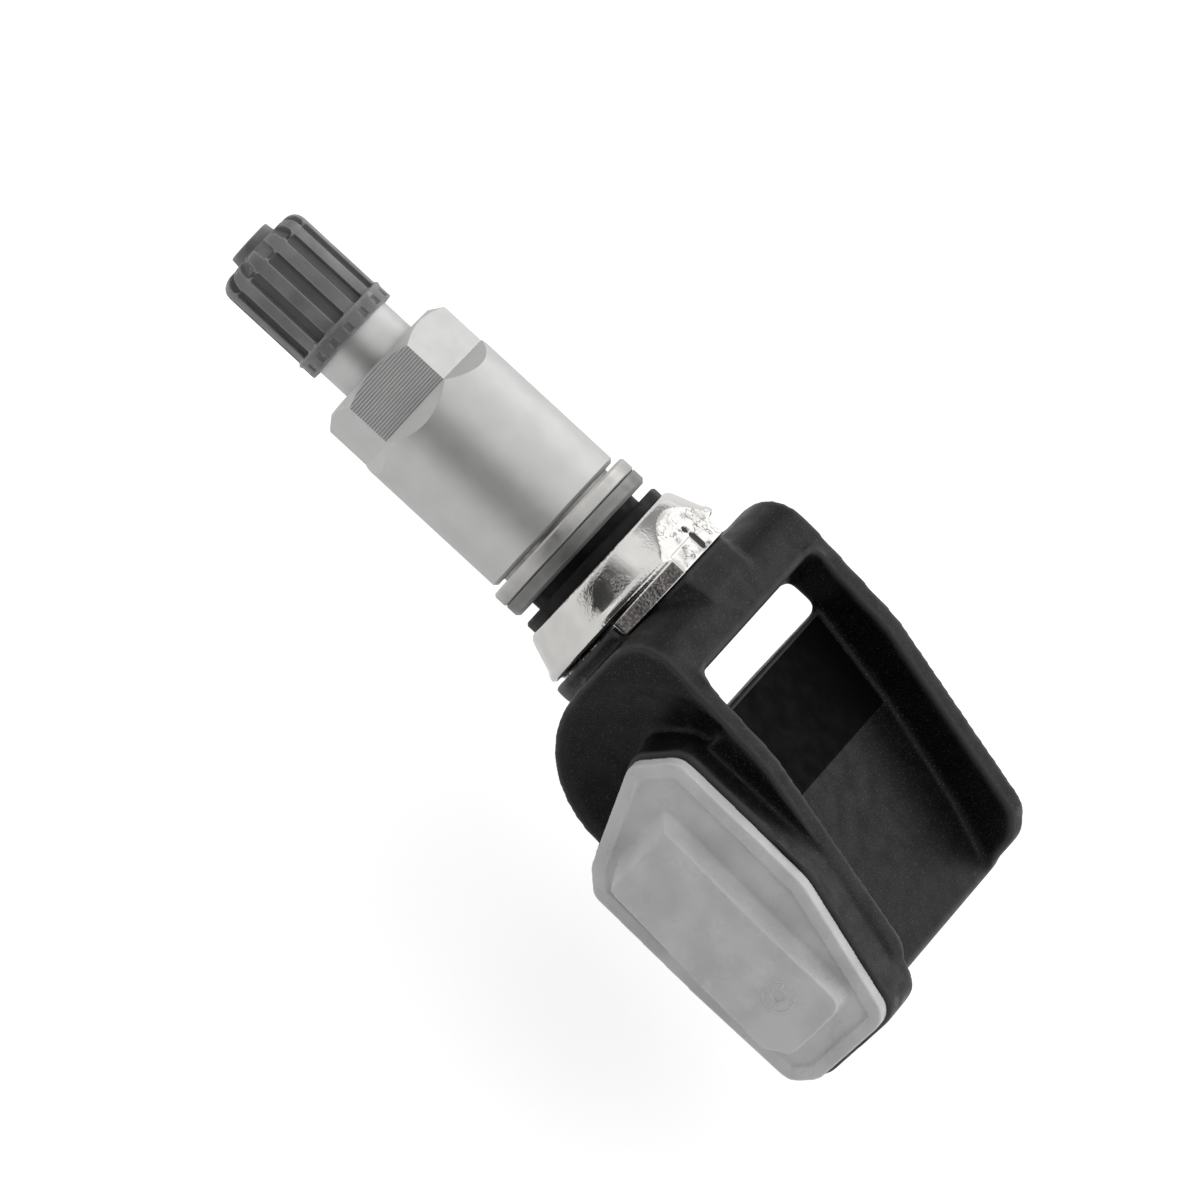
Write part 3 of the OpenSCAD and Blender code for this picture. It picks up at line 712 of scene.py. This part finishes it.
class Palette:
    """Finishes of the sensor, each made once."""

    def __init__(self) -> None:
        """Makes every material."""
        self.nut = MilledAluminium(
            "satin_aluminium_milled", (0.61, 0.61, 0.605), uneven=0.025, metallic=1.0, roughness=0.5,
            gloss_swing=0.02, grain_mm=0.08, grain_depth_mm=0.003, edge_mm=0.07).make()
        self.stem = Finish(
            "satin_aluminium_turned", (0.61, 0.61, 0.605), uneven=0.03, metallic=1.0, roughness=0.48,
            gloss_swing=0.03, grain_mm=0.1, grain_depth_mm=0.002, edge_mm=0.05,
            lay=Lay.ROUND_THE_VALVE).make()
        self.washer = Finish(
            "turned_steel_washer", (0.46, 0.455, 0.44), uneven=0.2, metallic=1.0, roughness=0.42,
            grain_mm=0.12, grain_depth_mm=0.012, edge_mm=0.08, lay=Lay.ROUND_THE_VALVE).make()
        self.ring = Finish(
            "dull_steel_ring", (0.28, 0.28, 0.275), uneven=0.25, metallic=0.9, roughness=0.5,
            grain_mm=0.12, grain_depth_mm=0.01, edge_mm=0.08, lay=Lay.ROUND_THE_VALVE).make()
        self.rubber = Finish(
            "black_rubber", (0.006, 0.006, 0.0065), roughness=0.55, grain_mm=0.2,
            grain_depth_mm=0.01, specular=0.2).make()
        self.cap = RibbedPlastic(
            "grey_moulded_cap", (0.225, 0.225, 0.228), uneven=0.2, roughness=0.42, grain_mm=0.12,
            grain_depth_mm=0.008, edge_highlight=(0.42, 0.42, 0.42), edge_highlight_share=0.8).make()
        self.plating = CastPlating(
            "bright_nickel_plating", (0.7, 0.685, 0.665), uneven=0.05, metallic=1.0, roughness=0.13,
            gloss_swing=0.05, grain_mm=0.3, grain_depth_mm=0.004).make()
        self.housing = MouldedPlastic(
            "black_glass_filled_plastic", (0.004, 0.004, 0.0045), uneven=0.25, roughness=0.42,
            gloss_swing=0.08, grain_mm=0.13, grain_depth_mm=0.012, specular=0.2,
            edge_highlight=(0.075, 0.075, 0.077), edge_highlight_share=0.7, edge_highlight_reach=(0.502, 0.53)).make()
        self.cover = FrostedPlastic(
            "frosted_cover_plastic", (0.8, 0.805, 0.8), uneven=0.08, patch_mm=3.5, roughness=0.34,
            grain_mm=0.5, grain_depth_mm=0.006, edge_highlight=(0.88, 0.885, 0.88), edge_highlight_share=0.8).make()
        self.brass = Finish(
            "turned_brass", (0.72, 0.55, 0.25), uneven=0.1, metallic=1.0, roughness=0.3,
            lay=Lay.ROUND_THE_VALVE).make()
        self.spring = Finish(
            "spring_wire", (0.5, 0.5, 0.51), uneven=0.1, metallic=1.0, roughness=0.25).make()
        self.seal = Finish("pale_seal", (0.6, 0.56, 0.5)).make()
        self.board = Finish(
            "green_solder_mask", (0.02, 0.11, 0.045), uneven=0.2, roughness=0.35, grain_mm=0.4).make()
        self.chip = Finish("black_epoxy", (0.02, 0.02, 0.021), roughness=0.55, grain_mm=0.1).make()
        self.copper = Finish(
            "enamelled_copper", (0.45, 0.2, 0.08), uneven=0.25, metallic=0.8, roughness=0.35,
            grain_mm=0.1, grain_depth_mm=0.02).make()
        self.tinned = Finish(
            "tinned_steel", (0.6, 0.6, 0.6), uneven=0.1, metallic=1.0, roughness=0.3).make()
        self.ceramic = Finish("tan_ceramic", (0.45, 0.33, 0.2)).make()


@dataclass
class Assembly:
    """Part of the sensor, with the ways of making and finishing pieces that all parts share."""

    nodes: dict[str, Piece]
    palette: Palette

    @staticmethod
    def clear_selection() -> None:
        """Leaves nothing selected."""
        bpy.ops.object.select_all(action="DESELECT")

    def pick(self, piece: Piece) -> None:
        """Makes one piece the only one selected, and the active one.

        Args:
            piece: Piece to pick.
        """
        self.clear_selection()
        piece.select_set(True)
        bpy.context.view_layer.objects.active = piece

    def copy_of(self, node: str, name: str) -> Piece:
        """Copies a node's mesh into a new piece with its loose triangles merged.

        Args:
            node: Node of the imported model.
            name: Name of the new piece.

        Returns:
            The new piece.
        """
        piece = bpy.data.objects.new(name, self.nodes[node].data.copy())
        bpy.context.scene.collection.objects.link(piece)
        self.pick(piece)
        bpy.ops.object.mode_set(mode="EDIT")
        bpy.ops.mesh.select_all(action="SELECT")
        bpy.ops.mesh.remove_doubles(threshold=0.001 * MM)
        bpy.ops.object.mode_set(mode="OBJECT")
        return piece

    def modify(self, piece: Piece, kind: str, **settings: object) -> None:
        """Adds a modifier and applies it.

        Args:
            piece: Piece to change.
            kind: Type of the modifier.
            **settings: Attributes of the modifier to set.
        """
        self.pick(piece)
        modifier = piece.modifiers.new(kind.lower(), kind)
        for key, value in settings.items():
            setattr(modifier, key, value)
        bpy.ops.object.modifier_apply(modifier=modifier.name)

    def freeze(self, piece: Piece) -> Piece:
        """Bakes a piece's place, turn and size into its mesh.

        Args:
            piece: Piece to freeze.

        Returns:
            The piece.
        """
        self.pick(piece)
        bpy.ops.object.transform_apply(location=True, rotation=True, scale=True)
        return piece

    def primitive(self, add: Callable, centre_mm: Triple, **settings: object) -> Piece:
        """Adds a primitive and bakes its place, turn and size into its mesh.

        Args:
            add: Operator that adds it.
            centre_mm: Its middle.
            **settings: Its sizes and turn.

        Returns:
            The primitive.
        """
        self.clear_selection()
        add(location=MM * Vector(centre_mm), **settings)
        return self.freeze(bpy.context.active_object)

    def block(self, centre_mm: Triple, size_mm: Triple, turn: Triple = (0.0, 0.0, 0.0)) -> Piece:
        """Makes a block with this length, width and height."""
        return self.primitive(
            bpy.ops.mesh.primitive_cube_add, centre_mm, size=1.0, scale=MM * Vector(size_mm), rotation=turn)

    def drum(
        self, centre_mm: Triple, radius_mm: float, length_mm: float, turn: Triple = (0.0, 0.0, 0.0),
        sides: int = 32
    ) -> Piece:
        """Makes a cylinder or prism, which stands upright where it isn't turned."""
        return self.primitive(
            bpy.ops.mesh.primitive_cylinder_add, centre_mm, vertices=sides, radius=radius_mm * MM,
            depth=length_mm * MM, rotation=turn)

    def turned(self, profile_mm: tuple[Reach, ...]) -> Piece:
        """Makes a solid that is turned about the valve axis.

        Args:
            profile_mm: Places along the valve with the radius at each, from one end to the other.

        Returns:
            The solid.
        """
        start, radius = profile_mm[0]
        solid = self.primitive(
            bpy.ops.mesh.primitive_circle_add, (start, 0.0, 0.0), vertices=128, radius=radius * MM,
            fill_type="NGON", rotation=(0.0, math.pi / 2, 0.0))
        bpy.ops.object.mode_set(mode="EDIT")
        bpy.ops.mesh.select_all(action="SELECT")
        for (x0, r0), (x1, r1) in zip(profile_mm, profile_mm[1:]):
            bpy.ops.mesh.extrude_region_move(
                TRANSFORM_OT_translate={"value": ((x1 - x0) * MM, 0.0, 0.0)})
            bpy.ops.transform.resize(value=(1.0, r1 / r0, r1 / r0), center_override=(x1 * MM, 0.0, 0.0))
        bpy.ops.mesh.select_all(action="SELECT")
        bpy.ops.mesh.normals_make_consistent(inside=False)
        bpy.ops.object.mode_set(mode="OBJECT")
        return solid

    def add_to(self, piece: Piece, *parts: Piece) -> None:
        """Joins parts to a piece, which its new mesh then fuses.

        Args:
            piece: Piece that takes them.
            *parts: Parts to join to it.
        """
        self.pick(piece)
        for part in parts:
            part.select_set(True)
        bpy.ops.object.join()

    def cut(self, piece: Piece, tool: Piece) -> None:
        """Cuts a tool's shape out of a piece and removes the tool."""
        self.modify(piece, "BOOLEAN", operation="DIFFERENCE", object=tool)
        bpy.data.objects.remove(tool)

    def complete(self, piece: Piece, body: Body, finish: Material, slot: str, *nodes: str) -> None:
        """Gives a new piece its finish and sets it on its body.

        Args:
            piece: Piece to complete.
            body: Body that it rides on.
            finish: Its material.
            slot: Material slot of the record that it takes its finish from; not used.
            *nodes: Nodes that it stands for.
        """
        piece.data.materials.clear()
        piece.data.materials.append(finish)
        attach(piece, body.value)
        if nodes:
            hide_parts(*nodes)
        log.info("%s: %d faces on %s", piece.name, len(piece.data.polygons), body.value)

    def dress(self, finish: Material, *nodes: str, crease_deg: float = 30.0) -> None:
        """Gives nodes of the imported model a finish.

        Args:
            finish: Material for the nodes.
            *nodes: Names of the nodes.
            crease_deg: Angle between faces from which their edge stays sharp.
        """
        for name in nodes:
            node = self.nodes[name]
            node.data.materials.clear()
            node.data.materials.append(finish)
            self.pick(node)
            bpy.ops.object.shade_smooth_by_angle(angle=math.radians(crease_deg))
            log.info("%s: dressed", name)


@dataclass
class MouldedPiece(Assembly):
    """Moulded or cast piece that stands for one node, with all its edges rounded."""

    node: str
    name: str
    slot: str
    voxel_mm: float
    passes: int
    body: Body = Body.SENSOR

    def shape(self, piece: Piece) -> None:
        """Gives the copy of the node the forms that it lacks."""

    def mould(self, finish: Material) -> None:
        """Builds the piece, rounds its edges as its tool would leave them, and sets it on its body.

        Args:
            finish: Its material.
        """
        piece = self.copy_of(self.node, self.name)
        self.shape(piece)
        self.modify(piece, "REMESH", mode="VOXEL", voxel_size=self.voxel_mm * MM)
        self.modify(piece, "SMOOTH", factor=0.5, iterations=self.passes)
        bpy.ops.object.shade_smooth()
        self.complete(piece, self.body, finish, self.slot, self.node)


@dataclass
class DustCap(MouldedPiece):
    """Moulded dust cap with wide ribs whose hollows run over its end."""

    node: str = "valve_cap"
    name: str = "dust_cap"
    slot: str = "cap_plastic"
    voxel_mm: float = 0.095
    passes: int = 2
    body: Body = Body.CAP
    ribs: int = 12
    collar_mm: float = -27.6
    hollow_radius_mm: float = 4.0
    hollow_width_mm: float = 1.1
    bend_mm: float = -35.0
    bend_deg: float = 42.0
    tool_height_mm: float = 2.0
    end_tool_mm: float = 3.0

    def hollow(self, turn: float) -> tuple[Piece, Piece]:
        """Makes the two cutters of one hollow: along the cap and down over its end.

        Args:
            turn: Turn of the hollow about the valve.

        Returns:
            The cutters.
        """
        slope = math.radians(self.bend_deg)
        length = self.collar_mm - self.bend_mm
        up, back = self.tool_height_mm / 2, self.end_tool_mm / 2
        along = self.block(
            (self.bend_mm + length / 2, 0.0, self.hollow_radius_mm + up),
            (length, self.hollow_width_mm, self.tool_height_mm))
        over = self.block(
            (self.bend_mm - back * math.cos(slope) - up * math.sin(slope), 0.0,
             self.hollow_radius_mm - back * math.sin(slope) + up * math.cos(slope)),
            (self.end_tool_mm, self.hollow_width_mm, self.tool_height_mm), (0.0, -slope, 0.0))
        for tool in (along, over):
            tool.rotation_euler = (turn, 0.0, 0.0)
            self.freeze(tool)
        return along, over

    def shape(self, piece: Piece) -> None:
        """Cuts the hollows.

        Args:
            piece: Copy of the cap.
        """
        for rib in range(self.ribs):
            for tool in self.hollow(math.tau * (rib + 0.5) / self.ribs):
                self.cut(piece, tool)

    def build(self) -> None:
        """Builds the cap and sets it on its body."""
        self.mould(self.palette.cap)


@dataclass
class Valve(Assembly):
    """Valve with its core, the dust cap and the clamping nut and rings."""

    def build(self) -> None:
        """Builds and dresses the pieces of the valve."""
        DustCap(self.nodes, self.palette).build()
        self.dress(self.palette.stem, "valve_stem")
        self.dress(self.palette.nut, "collar_nut", crease_deg=12.0)
        self.dress(self.palette.washer, "clamp_washer")
        self.dress(self.palette.ring, "support_ring")
        self.dress(self.palette.rubber, "rubber_grommet", "cap_gasket", "plunger_seal")
        self.dress(self.palette.brass, "core_body", "core_pin")
        self.dress(self.palette.seal, "core_seal")
        self.dress(self.palette.spring, "core_spring")


@dataclass
class PlatedBase(MouldedPiece):
    """Plated base under the rubber and the screw that holds the body to it."""

    node: str = "base_flange"
    name: str = "plated_base"
    slot: str = "plating"
    voxel_mm: float = 0.115
    passes: int = 2
    cone_mm: tuple[Reach, ...] = (
        (0.95, 7.5), (1.02, 7.85), (1.25, 8.1), (1.6, 8.28), (4.4, 9.28), (4.75, 9.35), (4.95, 9.2))
    cone_bore_mm: float = 7.0
    flat_mm: float = 8.4
    block_end_mm: float = 6.6
    tool_mm: Reach = (4.0, 20.0)
    slot_mm: Reach = (4.7, 6.35)
    slot_width_mm: float = 0.55
    slot_y_mm: float = 0.65
    slot_depth_mm: float = 0.9
    pit_mm: Reach = (4.2, 0.5)
    pit_radius_mm: float = 0.3
    pit_depth_mm: float = 0.5
    ledge_mm: Reach = (4.8, 7.8)
    ledge_width_mm: float = 3.6
    ledge_gap_mm: float = 0.3
    ledge_drop_mm: float = 0.15
    floor_sunk_mm: float = 0.12
    floor_deep_mm: Reach = (1.08, 0.78)
    floor_grip_mm: float = 0.1
    floor_edge_mm: float = 0.05

    def cone(self) -> Piece:
        """Makes the straight cone with a round start that fills the flare out.

        Returns:
            The cone.
        """
        cone = self.turned(self.cone_mm)
        (start, _), (end, _) = self.cone_mm[0], self.cone_mm[-1]
        middle, length = (start + end) / 2, 2 * (end - start)
        self.cut(cone, self.drum(
            (middle, 0.0, 0.0), self.cone_bore_mm, length, (0.0, math.pi / 2, 0.0)))
        thick, wide = self.tool_mm
        self.cut(cone, self.block(
            (middle, 0.0, self.flat_mm + thick / 2), (length, wide, thick)))
        return cone

    def cut_details(self, piece: Piece) -> None:
        """Cuts the block's end, the slot, the pit and the low ledge.

        Args:
            piece: Copy of the base, or the cone.
        """
        thick, wide = self.tool_mm
        self.cut(piece, self.block(
            (self.block_end_mm + thick / 2, 0.0, 0.0), (thick, wide, wide)))
        start, end = self.slot_mm
        self.cut(piece, self.block(
            ((start + end) / 2, self.slot_y_mm, self.flat_mm),
            (end - start, self.slot_width_mm, 2 * self.slot_depth_mm)))
        self.cut(piece, self.drum(
            (*self.pit_mm, self.flat_mm), self.pit_radius_mm, 2 * self.pit_depth_mm))
        start, end = self.ledge_mm
        across = self.slot_y_mm - self.ledge_width_mm / 2 - self.ledge_gap_mm
        self.cut(piece, self.block(
            ((start + end) / 2, across, self.flat_mm),
            (end - start, self.ledge_width_mm, 2 * self.ledge_drop_mm)))

    def shape(self, piece: Piece) -> None:
        """Fills the flare out to a cone and cuts the details of the flat.

        Args:
            piece: Copy of the base.
        """
        cone = self.cone()
        for part in (piece, cone):
            self.cut_details(part)
        self.add_to(piece, cone)

    def fill_slot(self) -> None:
        """Sets the dark plastic that shows at the bottom of the slot and the pit."""
        start, end = self.slot_mm
        deep, pit_deep = self.floor_deep_mm
        sunk, grip = self.floor_sunk_mm, self.floor_grip_mm
        floor = self.block(
            ((start + end) / 2, self.slot_y_mm, self.flat_mm - (sunk + deep) / 2),
            (end - start + 2 * grip, self.slot_width_mm + 2 * grip, deep - sunk))
        pit = self.drum(
            (*self.pit_mm, self.flat_mm - (sunk + pit_deep) / 2),
            self.pit_radius_mm + grip, pit_deep - sunk)
        self.add_to(floor, pit)
        floor.name = "slot_floor"
        self.modify(floor, "BEVEL", width=self.floor_edge_mm * MM, segments=2)
        self.complete(floor, Body.SENSOR, self.palette.housing, "housing_plastic")

    def build(self) -> None:
        """Builds and dresses the base."""
        self.mould(self.palette.plating)
        self.fill_slot()
        self.dress(self.palette.spring, "base_screw")


@dataclass
class PressureDial(Assembly):
    """Moulded ring with four spokes round the air hole of the cover, and the filter in the hole."""

    along_mm: float = 34.9
    height_mm: float = -8.0
    crease_deg: float = 40.0
    ring_mm: float = 1.35
    wire_mm: float = 0.09
    inner_mm: float = 0.72
    spokes: int = 4
    spoke_turn_deg: float = 20.0
    filter_mm: float = 0.5
    filter_sunk_mm: float = 0.2

    def spoke(self, turn: float) -> Piece:
        """Makes a spoke.

        Args:
            turn: Turn of the spoke on the cover's face.

        Returns:
            The spoke.
        """
        reach = (self.ring_mm + self.inner_mm) / 2
        along, up = math.cos(turn), math.sin(turn)
        way = LeaningSide.place_mm(along, 0.0, up) - LeaningSide.place_mm(0.0, 0.0, 0.0)
        middle = LeaningSide.place_mm(
            self.along_mm + reach * along, LeaningSide.PANEL_MM, self.height_mm + reach * up)
        return self.drum(
            middle, self.wire_mm, self.ring_mm - self.inner_mm,
            tuple(way.to_track_quat("Z", "Y").to_euler()))

    def build(self) -> None:
        """Builds the dial and sets it on the cover."""
        centre, sunk = (
            LeaningSide.place_mm(self.along_mm, LeaningSide.PANEL_MM + depth, self.height_mm)
            for depth in (0.0, 2 * self.filter_sunk_mm))
        tilt = (math.radians(90.0 - LeaningSide.LEAN_DEG), 0.0, 0.0)
        dial = self.primitive(
            bpy.ops.mesh.primitive_torus_add, centre, major_segments=64, minor_segments=12,
            major_radius=self.ring_mm * MM, minor_radius=self.wire_mm * MM, rotation=tilt)
        dial.name = "cover_dial"
        turns = (math.radians(self.spoke_turn_deg) + math.tau * k / self.spokes for k in range(self.spokes))
        spokes = [self.spoke(turn) for turn in turns]
        disc = self.drum(sunk, self.filter_mm, 2 * self.filter_sunk_mm, tilt)
        self.add_to(dial, *spokes, disc)
        bpy.ops.object.shade_smooth_by_angle(angle=math.radians(self.crease_deg))
        self.complete(dial, Body.SENSOR, self.palette.cover, "cover_plastic")


@dataclass
class SideCover(MouldedPiece):
    """Translucent cover of the housing's side."""

    node: str = "cover"
    name: str = "side_cover"
    slot: str = "cover_plastic"
    voxel_mm: float = 0.12
    passes: int = 3

    def build(self) -> None:
        """Builds the cover and sets it on its body."""
        self.mould(self.palette.cover)


@dataclass
class BlackHousing(MouldedPiece):
    """Black moulded housing with round edges and round corners in its slot."""

    node: str = "housing"
    name: str = "black_housing"
    slot: str = "housing_plastic"
    voxel_mm: float = 0.28
    passes: int = 14
    slot_x_mm: Reach = (13.0, 16.4)
    slot_y_mm: float = 10.55
    corner_mm: float = 0.9
    corner_sunk_mm: float = 0.4
    front_z_mm: Reach = (3.2, 8.0)
    floor_z_mm: Reach = (3.2, 3.6)
    collar_mm: Reach = (6.62, 9.8)
    collar_sides: int = 8
    collar_flats_mm: float = 16.3

    def corner(self, x_way: int, y_way: int) -> Piece:
        """Makes the filler of one of the slot's corners.

        Args:
            x_way: Way from the corner into the slot along the valve, 1 or -1.
            y_way: Way from the corner into the slot across it, 1 or -1.

        Returns:
            The filler.
        """
        low, high = self.front_z_mm if x_way > 0 else self.floor_z_mm
        x = self.slot_x_mm[0 if x_way > 0 else 1]
        y = -y_way * self.slot_y_mm
        middle = (low + high) / 2
        half = (self.corner_mm + self.corner_sunk_mm) / 2
        inset = half - self.corner_sunk_mm
        filler = self.block(
            (x + x_way * inset, y + y_way * inset, middle), (2 * half, 2 * half, high - low))
        self.cut(filler, self.drum(
            (x + x_way * self.corner_mm, y + y_way * self.corner_mm, middle),
            self.corner_mm, high - low + 1.0))
        return filler

    def collar(self) -> Piece:
        """Makes the collar that holds the end of the base's block.

        Returns:
            The collar.
        """
        start, end = self.collar_mm
        half_side = math.pi / self.collar_sides
        collar = self.drum(
            (0.0, 0.0, 0.0), self.collar_flats_mm / 2 / math.cos(half_side), end - start,
            (0.0, 0.0, half_side), self.collar_sides)
        collar.rotation_euler = (0.0, math.pi / 2, 0.0)
        collar.location.x = (start + end) / 2 * MM
        return self.freeze(collar)

    def shape(self, piece: Piece) -> None:
        """Adds the collar and the slot's round corners.

        Args:
            piece: Copy of the housing.
        """
        corners_made = [self.corner(x_way, y_way) for x_way in (1, -1) for y_way in (1, -1)]
        self.add_to(piece, self.collar(), *corners_made)

    def build(self) -> None:
        """Builds the housing and sets it on its body."""
        self.mould(self.palette.housing)


@dataclass
class SensorHousing(Assembly):
    """Black housing with its translucent cover and the electronics behind it."""

    def build(self) -> None:
        """Builds and dresses the housing, the cover and what is inside."""
        for part in (BlackHousing, SideCover, PressureDial):
            part(self.nodes, self.palette).build()
        self.dress(self.palette.board, "circuit_board")
        self.dress(self.palette.chip, "sensor_chip", "coil_core")
        self.dress(self.palette.seal, "port_seal")
        self.dress(self.palette.copper, "low_frequency_coil")
        self.dress(self.palette.ceramic, "capacitors")
        self.dress(
            self.palette.tinned, "crystal", "loop_antenna", "coin_cell", "cell_tab_upper", "cell_tab_lower")


@dataclass
class Studio:
    """Camera, pale floor, world and lamps."""

    view_deg: float = 50.0
    roll_deg: float = 42.7
    aim: Reach = (0.00305, -0.00204)
    picture_width: float = 0.0968
    lens: float = 400.0
    clip: Reach = (0.01, 10.0)
    floor_size: float = 6.0
    floor_drop: float = 0.02
    floor_colour: Colour = (0.85, 0.85, 0.85)
    floor_roughness: float = 0.9
    floor_glow: float = 0.6
    floor_glow_in_gloss: float = 0.3
    dim_turn_deg: float = 20.0
    dim_along_deg: float = 22.0
    dim_long_deg: float = 44.0
    dim_wide_deg: float = 27.0
    dim_edge: Reach = (0.5, 2.2)
    dim_level: float = 0.055
    far_beyond: float = 10.0
    light_share: float = 0.72
    card_way: Triple = (-0.45, -0.1, 0.89)
    card_edge: Reach = (0.82, 0.96)
    card_level: float = 0.35
    lamp_distance: float = 0.5
    right_lamp_way: Triple = (0.1, 0.766, 0.643)
    right_lamp_power: float = 0.4
    right_lamp_size: float = 0.4
    left_lamp_way: Triple = (-0.9, 0.6, 0.6)
    left_lamp_power: float = 0.12
    left_lamp_size: float = 0.3

    @staticmethod
    def swing(first: Vector, second: Vector, angle_deg: float) -> tuple[Vector, Vector]:
        """Turns two crossed ways by an angle, the first towards the second."""
        cos, sin = math.cos(math.radians(angle_deg)), math.sin(math.radians(angle_deg))
        return first * cos + second * sin, second * cos - first * sin

    def axes(self) -> tuple[Vector, Vector, Vector]:
        """Axes of the picture in the frame of the model.

        Returns:
            Directions of the picture's right, its top and the way back to the camera.
        """
        across, back = self.swing(ACROSS, UP, self.view_deg)
        return *self.swing(ALONG, across, self.roll_deg), back

    def centre(self) -> Vector:
        """Point that the camera looks at."""
        along, up = self.aim
        return ALONG * along + self.swing(ACROSS, UP, self.view_deg)[0] * up

    def dim_axes(self) -> tuple[Vector, Vector, Vector]:
        """Axes of the dim part of the surroundings, where the camera and its operator stand.

        Returns:
            Its middle, its long way and its short way.
        """
        across, back = self.swing(ACROSS, UP, self.view_deg + self.dim_turn_deg)
        long_way, middle = self.swing(ALONG, back, self.dim_along_deg)
        return middle, long_way, across

    def card(self) -> Vector:
        """Direction of the grey card beside the camera.

        Returns:
            The direction.
        """
        side, rear, up = self.card_way
        across, back = self.swing(ACROSS, UP, self.view_deg)
        return (ALONG * side + back * rear + across * up).normalized()

    def add_camera(self) -> None:
        """Adds the camera at the photograph's angle."""
        data = bpy.data.cameras.new("camera")
        data.lens = self.lens
        data.clip_start, data.clip_end = self.clip
        camera = bpy.data.objects.new("camera", data)
        bpy.context.scene.collection.objects.link(camera)
        right, top, back = self.axes()
        distance = self.picture_width * self.lens / data.sensor_width
        turn = Matrix((right, top, back)).transposed().to_4x4()
        camera.matrix_world = Matrix.Translation(self.centre() + back * distance) @ turn
        bpy.context.scene.camera = camera

    def add_lamp(self, name: str, way: Vector, power: float, size: float) -> None:
        """Adds a soft square lamp that shines on the sensor.

        Args:
            name: Name of the lamp.
            way: Direction from the sensor to the lamp.
            power: Power in watts.
            size: Side of the lamp.
        """
        data = bpy.data.lights.new(name, "AREA")
        data.energy = power
        data.size = size
        lamp = bpy.data.objects.new(name, data)
        bpy.context.scene.collection.objects.link(lamp)
        lamp.location = self.centre() + way.normalized() * self.lamp_distance
        lamp.rotation_euler = way.to_track_quat("Z", "Y").to_euler()

    def add_floor(self) -> None:
        """Adds the pale floor, which shows white to the camera and keeps the shadow."""
        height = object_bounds()[0].z - self.floor_drop
        Assembly.clear_selection()
        bpy.ops.mesh.primitive_plane_add(size=self.floor_size, location=(0.0, 0.0, height))
        floor = bpy.context.active_object
        floor.name = "floor"
        sheet = Sheet("pale_floor")
        inputs = sheet.shader.inputs
        sheet.join(self.floor_colour, inputs["Base Color"])
        inputs["Roughness"].default_value = self.floor_roughness
        sheet.join((1.0, 1.0, 1.0), inputs["Emission Color"])
        path = sheet.add("ShaderNodeLightPath").outputs
        in_gloss = sheet.math("ADD", path["Is Glossy Ray"], path["Is Transmission Ray"])
        seen = sheet.times(path["Is Camera Ray"], self.floor_glow)
        glow = sheet.math("MULTIPLY_ADD", in_gloss, self.floor_glow_in_gloss, seen)
        sheet.join(glow, inputs["Emission Strength"])
        floor.data.materials.append(sheet.material)
        floor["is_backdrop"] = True

    def add_world(self) -> None:
        """Adds the world: white to the camera, bright round the sensor and dim behind the camera."""
        world = bpy.data.worlds.new("studio")
        world.use_nodes = True
        bpy.context.scene.world = world
        sky = Tree(world.node_tree)
        background = sky.tree.nodes["Background"].inputs
        sky.join((1.0, 1.0, 1.0), background["Color"])
        way = sky.add("ShaderNodeTexCoord").outputs["Generated"]
        middle, long_way, short_way = self.dim_axes()
        off_long, off_short = (
            sky.math("DIVIDE", sky.cosine(way, axis), math.sin(math.radians(half_deg)))
            for axis, half_deg in ((long_way, self.dim_long_deg), (short_way, self.dim_wide_deg)))
        away = sky.math("ADD", sky.math("POWER", off_long, 2.0), sky.math("POWER", off_short, 2.0))
        behind = sky.math("LESS_THAN", sky.cosine(way, middle), 0.0)
        beyond = sky.math("MULTIPLY_ADD", behind, self.far_beyond, away)
        dim = sky.span(beyond, *self.dim_edge, self.dim_level, 1.0)
        card = sky.span(sky.cosine(way, self.card()), *self.card_edge, 1.0, self.card_level)
        path = sky.add("ShaderNodeLightPath").outputs
        in_gloss = sky.math("MAXIMUM", path["Is Glossy Ray"], path["Is Transmission Ray"])
        share = sky.span(in_gloss, 0.0, 1.0, self.light_share, 1.0)
        level = sky.times(sky.times(dim, card), share)
        sky.join(sky.mix("FLOAT", path["Is Camera Ray"], level, 1.0), background["Strength"])

    def build(self) -> None:
        """Sets up the whole studio."""
        right, top, back = self.axes()
        to_right, to_top, to_back = self.left_lamp_way
        left_way = top * to_top + right * to_right + back * to_back
        self.add_camera()
        self.add_floor()
        self.add_world()
        self.add_lamp(
            "upper_right_lamp", Vector(self.right_lamp_way), self.right_lamp_power, self.right_lamp_size)
        self.add_lamp("upper_left_lamp", left_way, self.left_lamp_power, self.left_lamp_size)
        bpy.context.scene.view_settings.view_transform = "Standard"


def main() -> None:
    """Builds the sub-assemblies in order, then the studio."""
    logging.basicConfig(level=logging.INFO, format="%(message)s")
    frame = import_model()
    palette = Palette()
    for assembly in (Valve, PlatedBase, SensorHousing):
        assembly(frame["nodes"], palette).build()
    Studio().build()


if __name__ == "__main__":
    main()
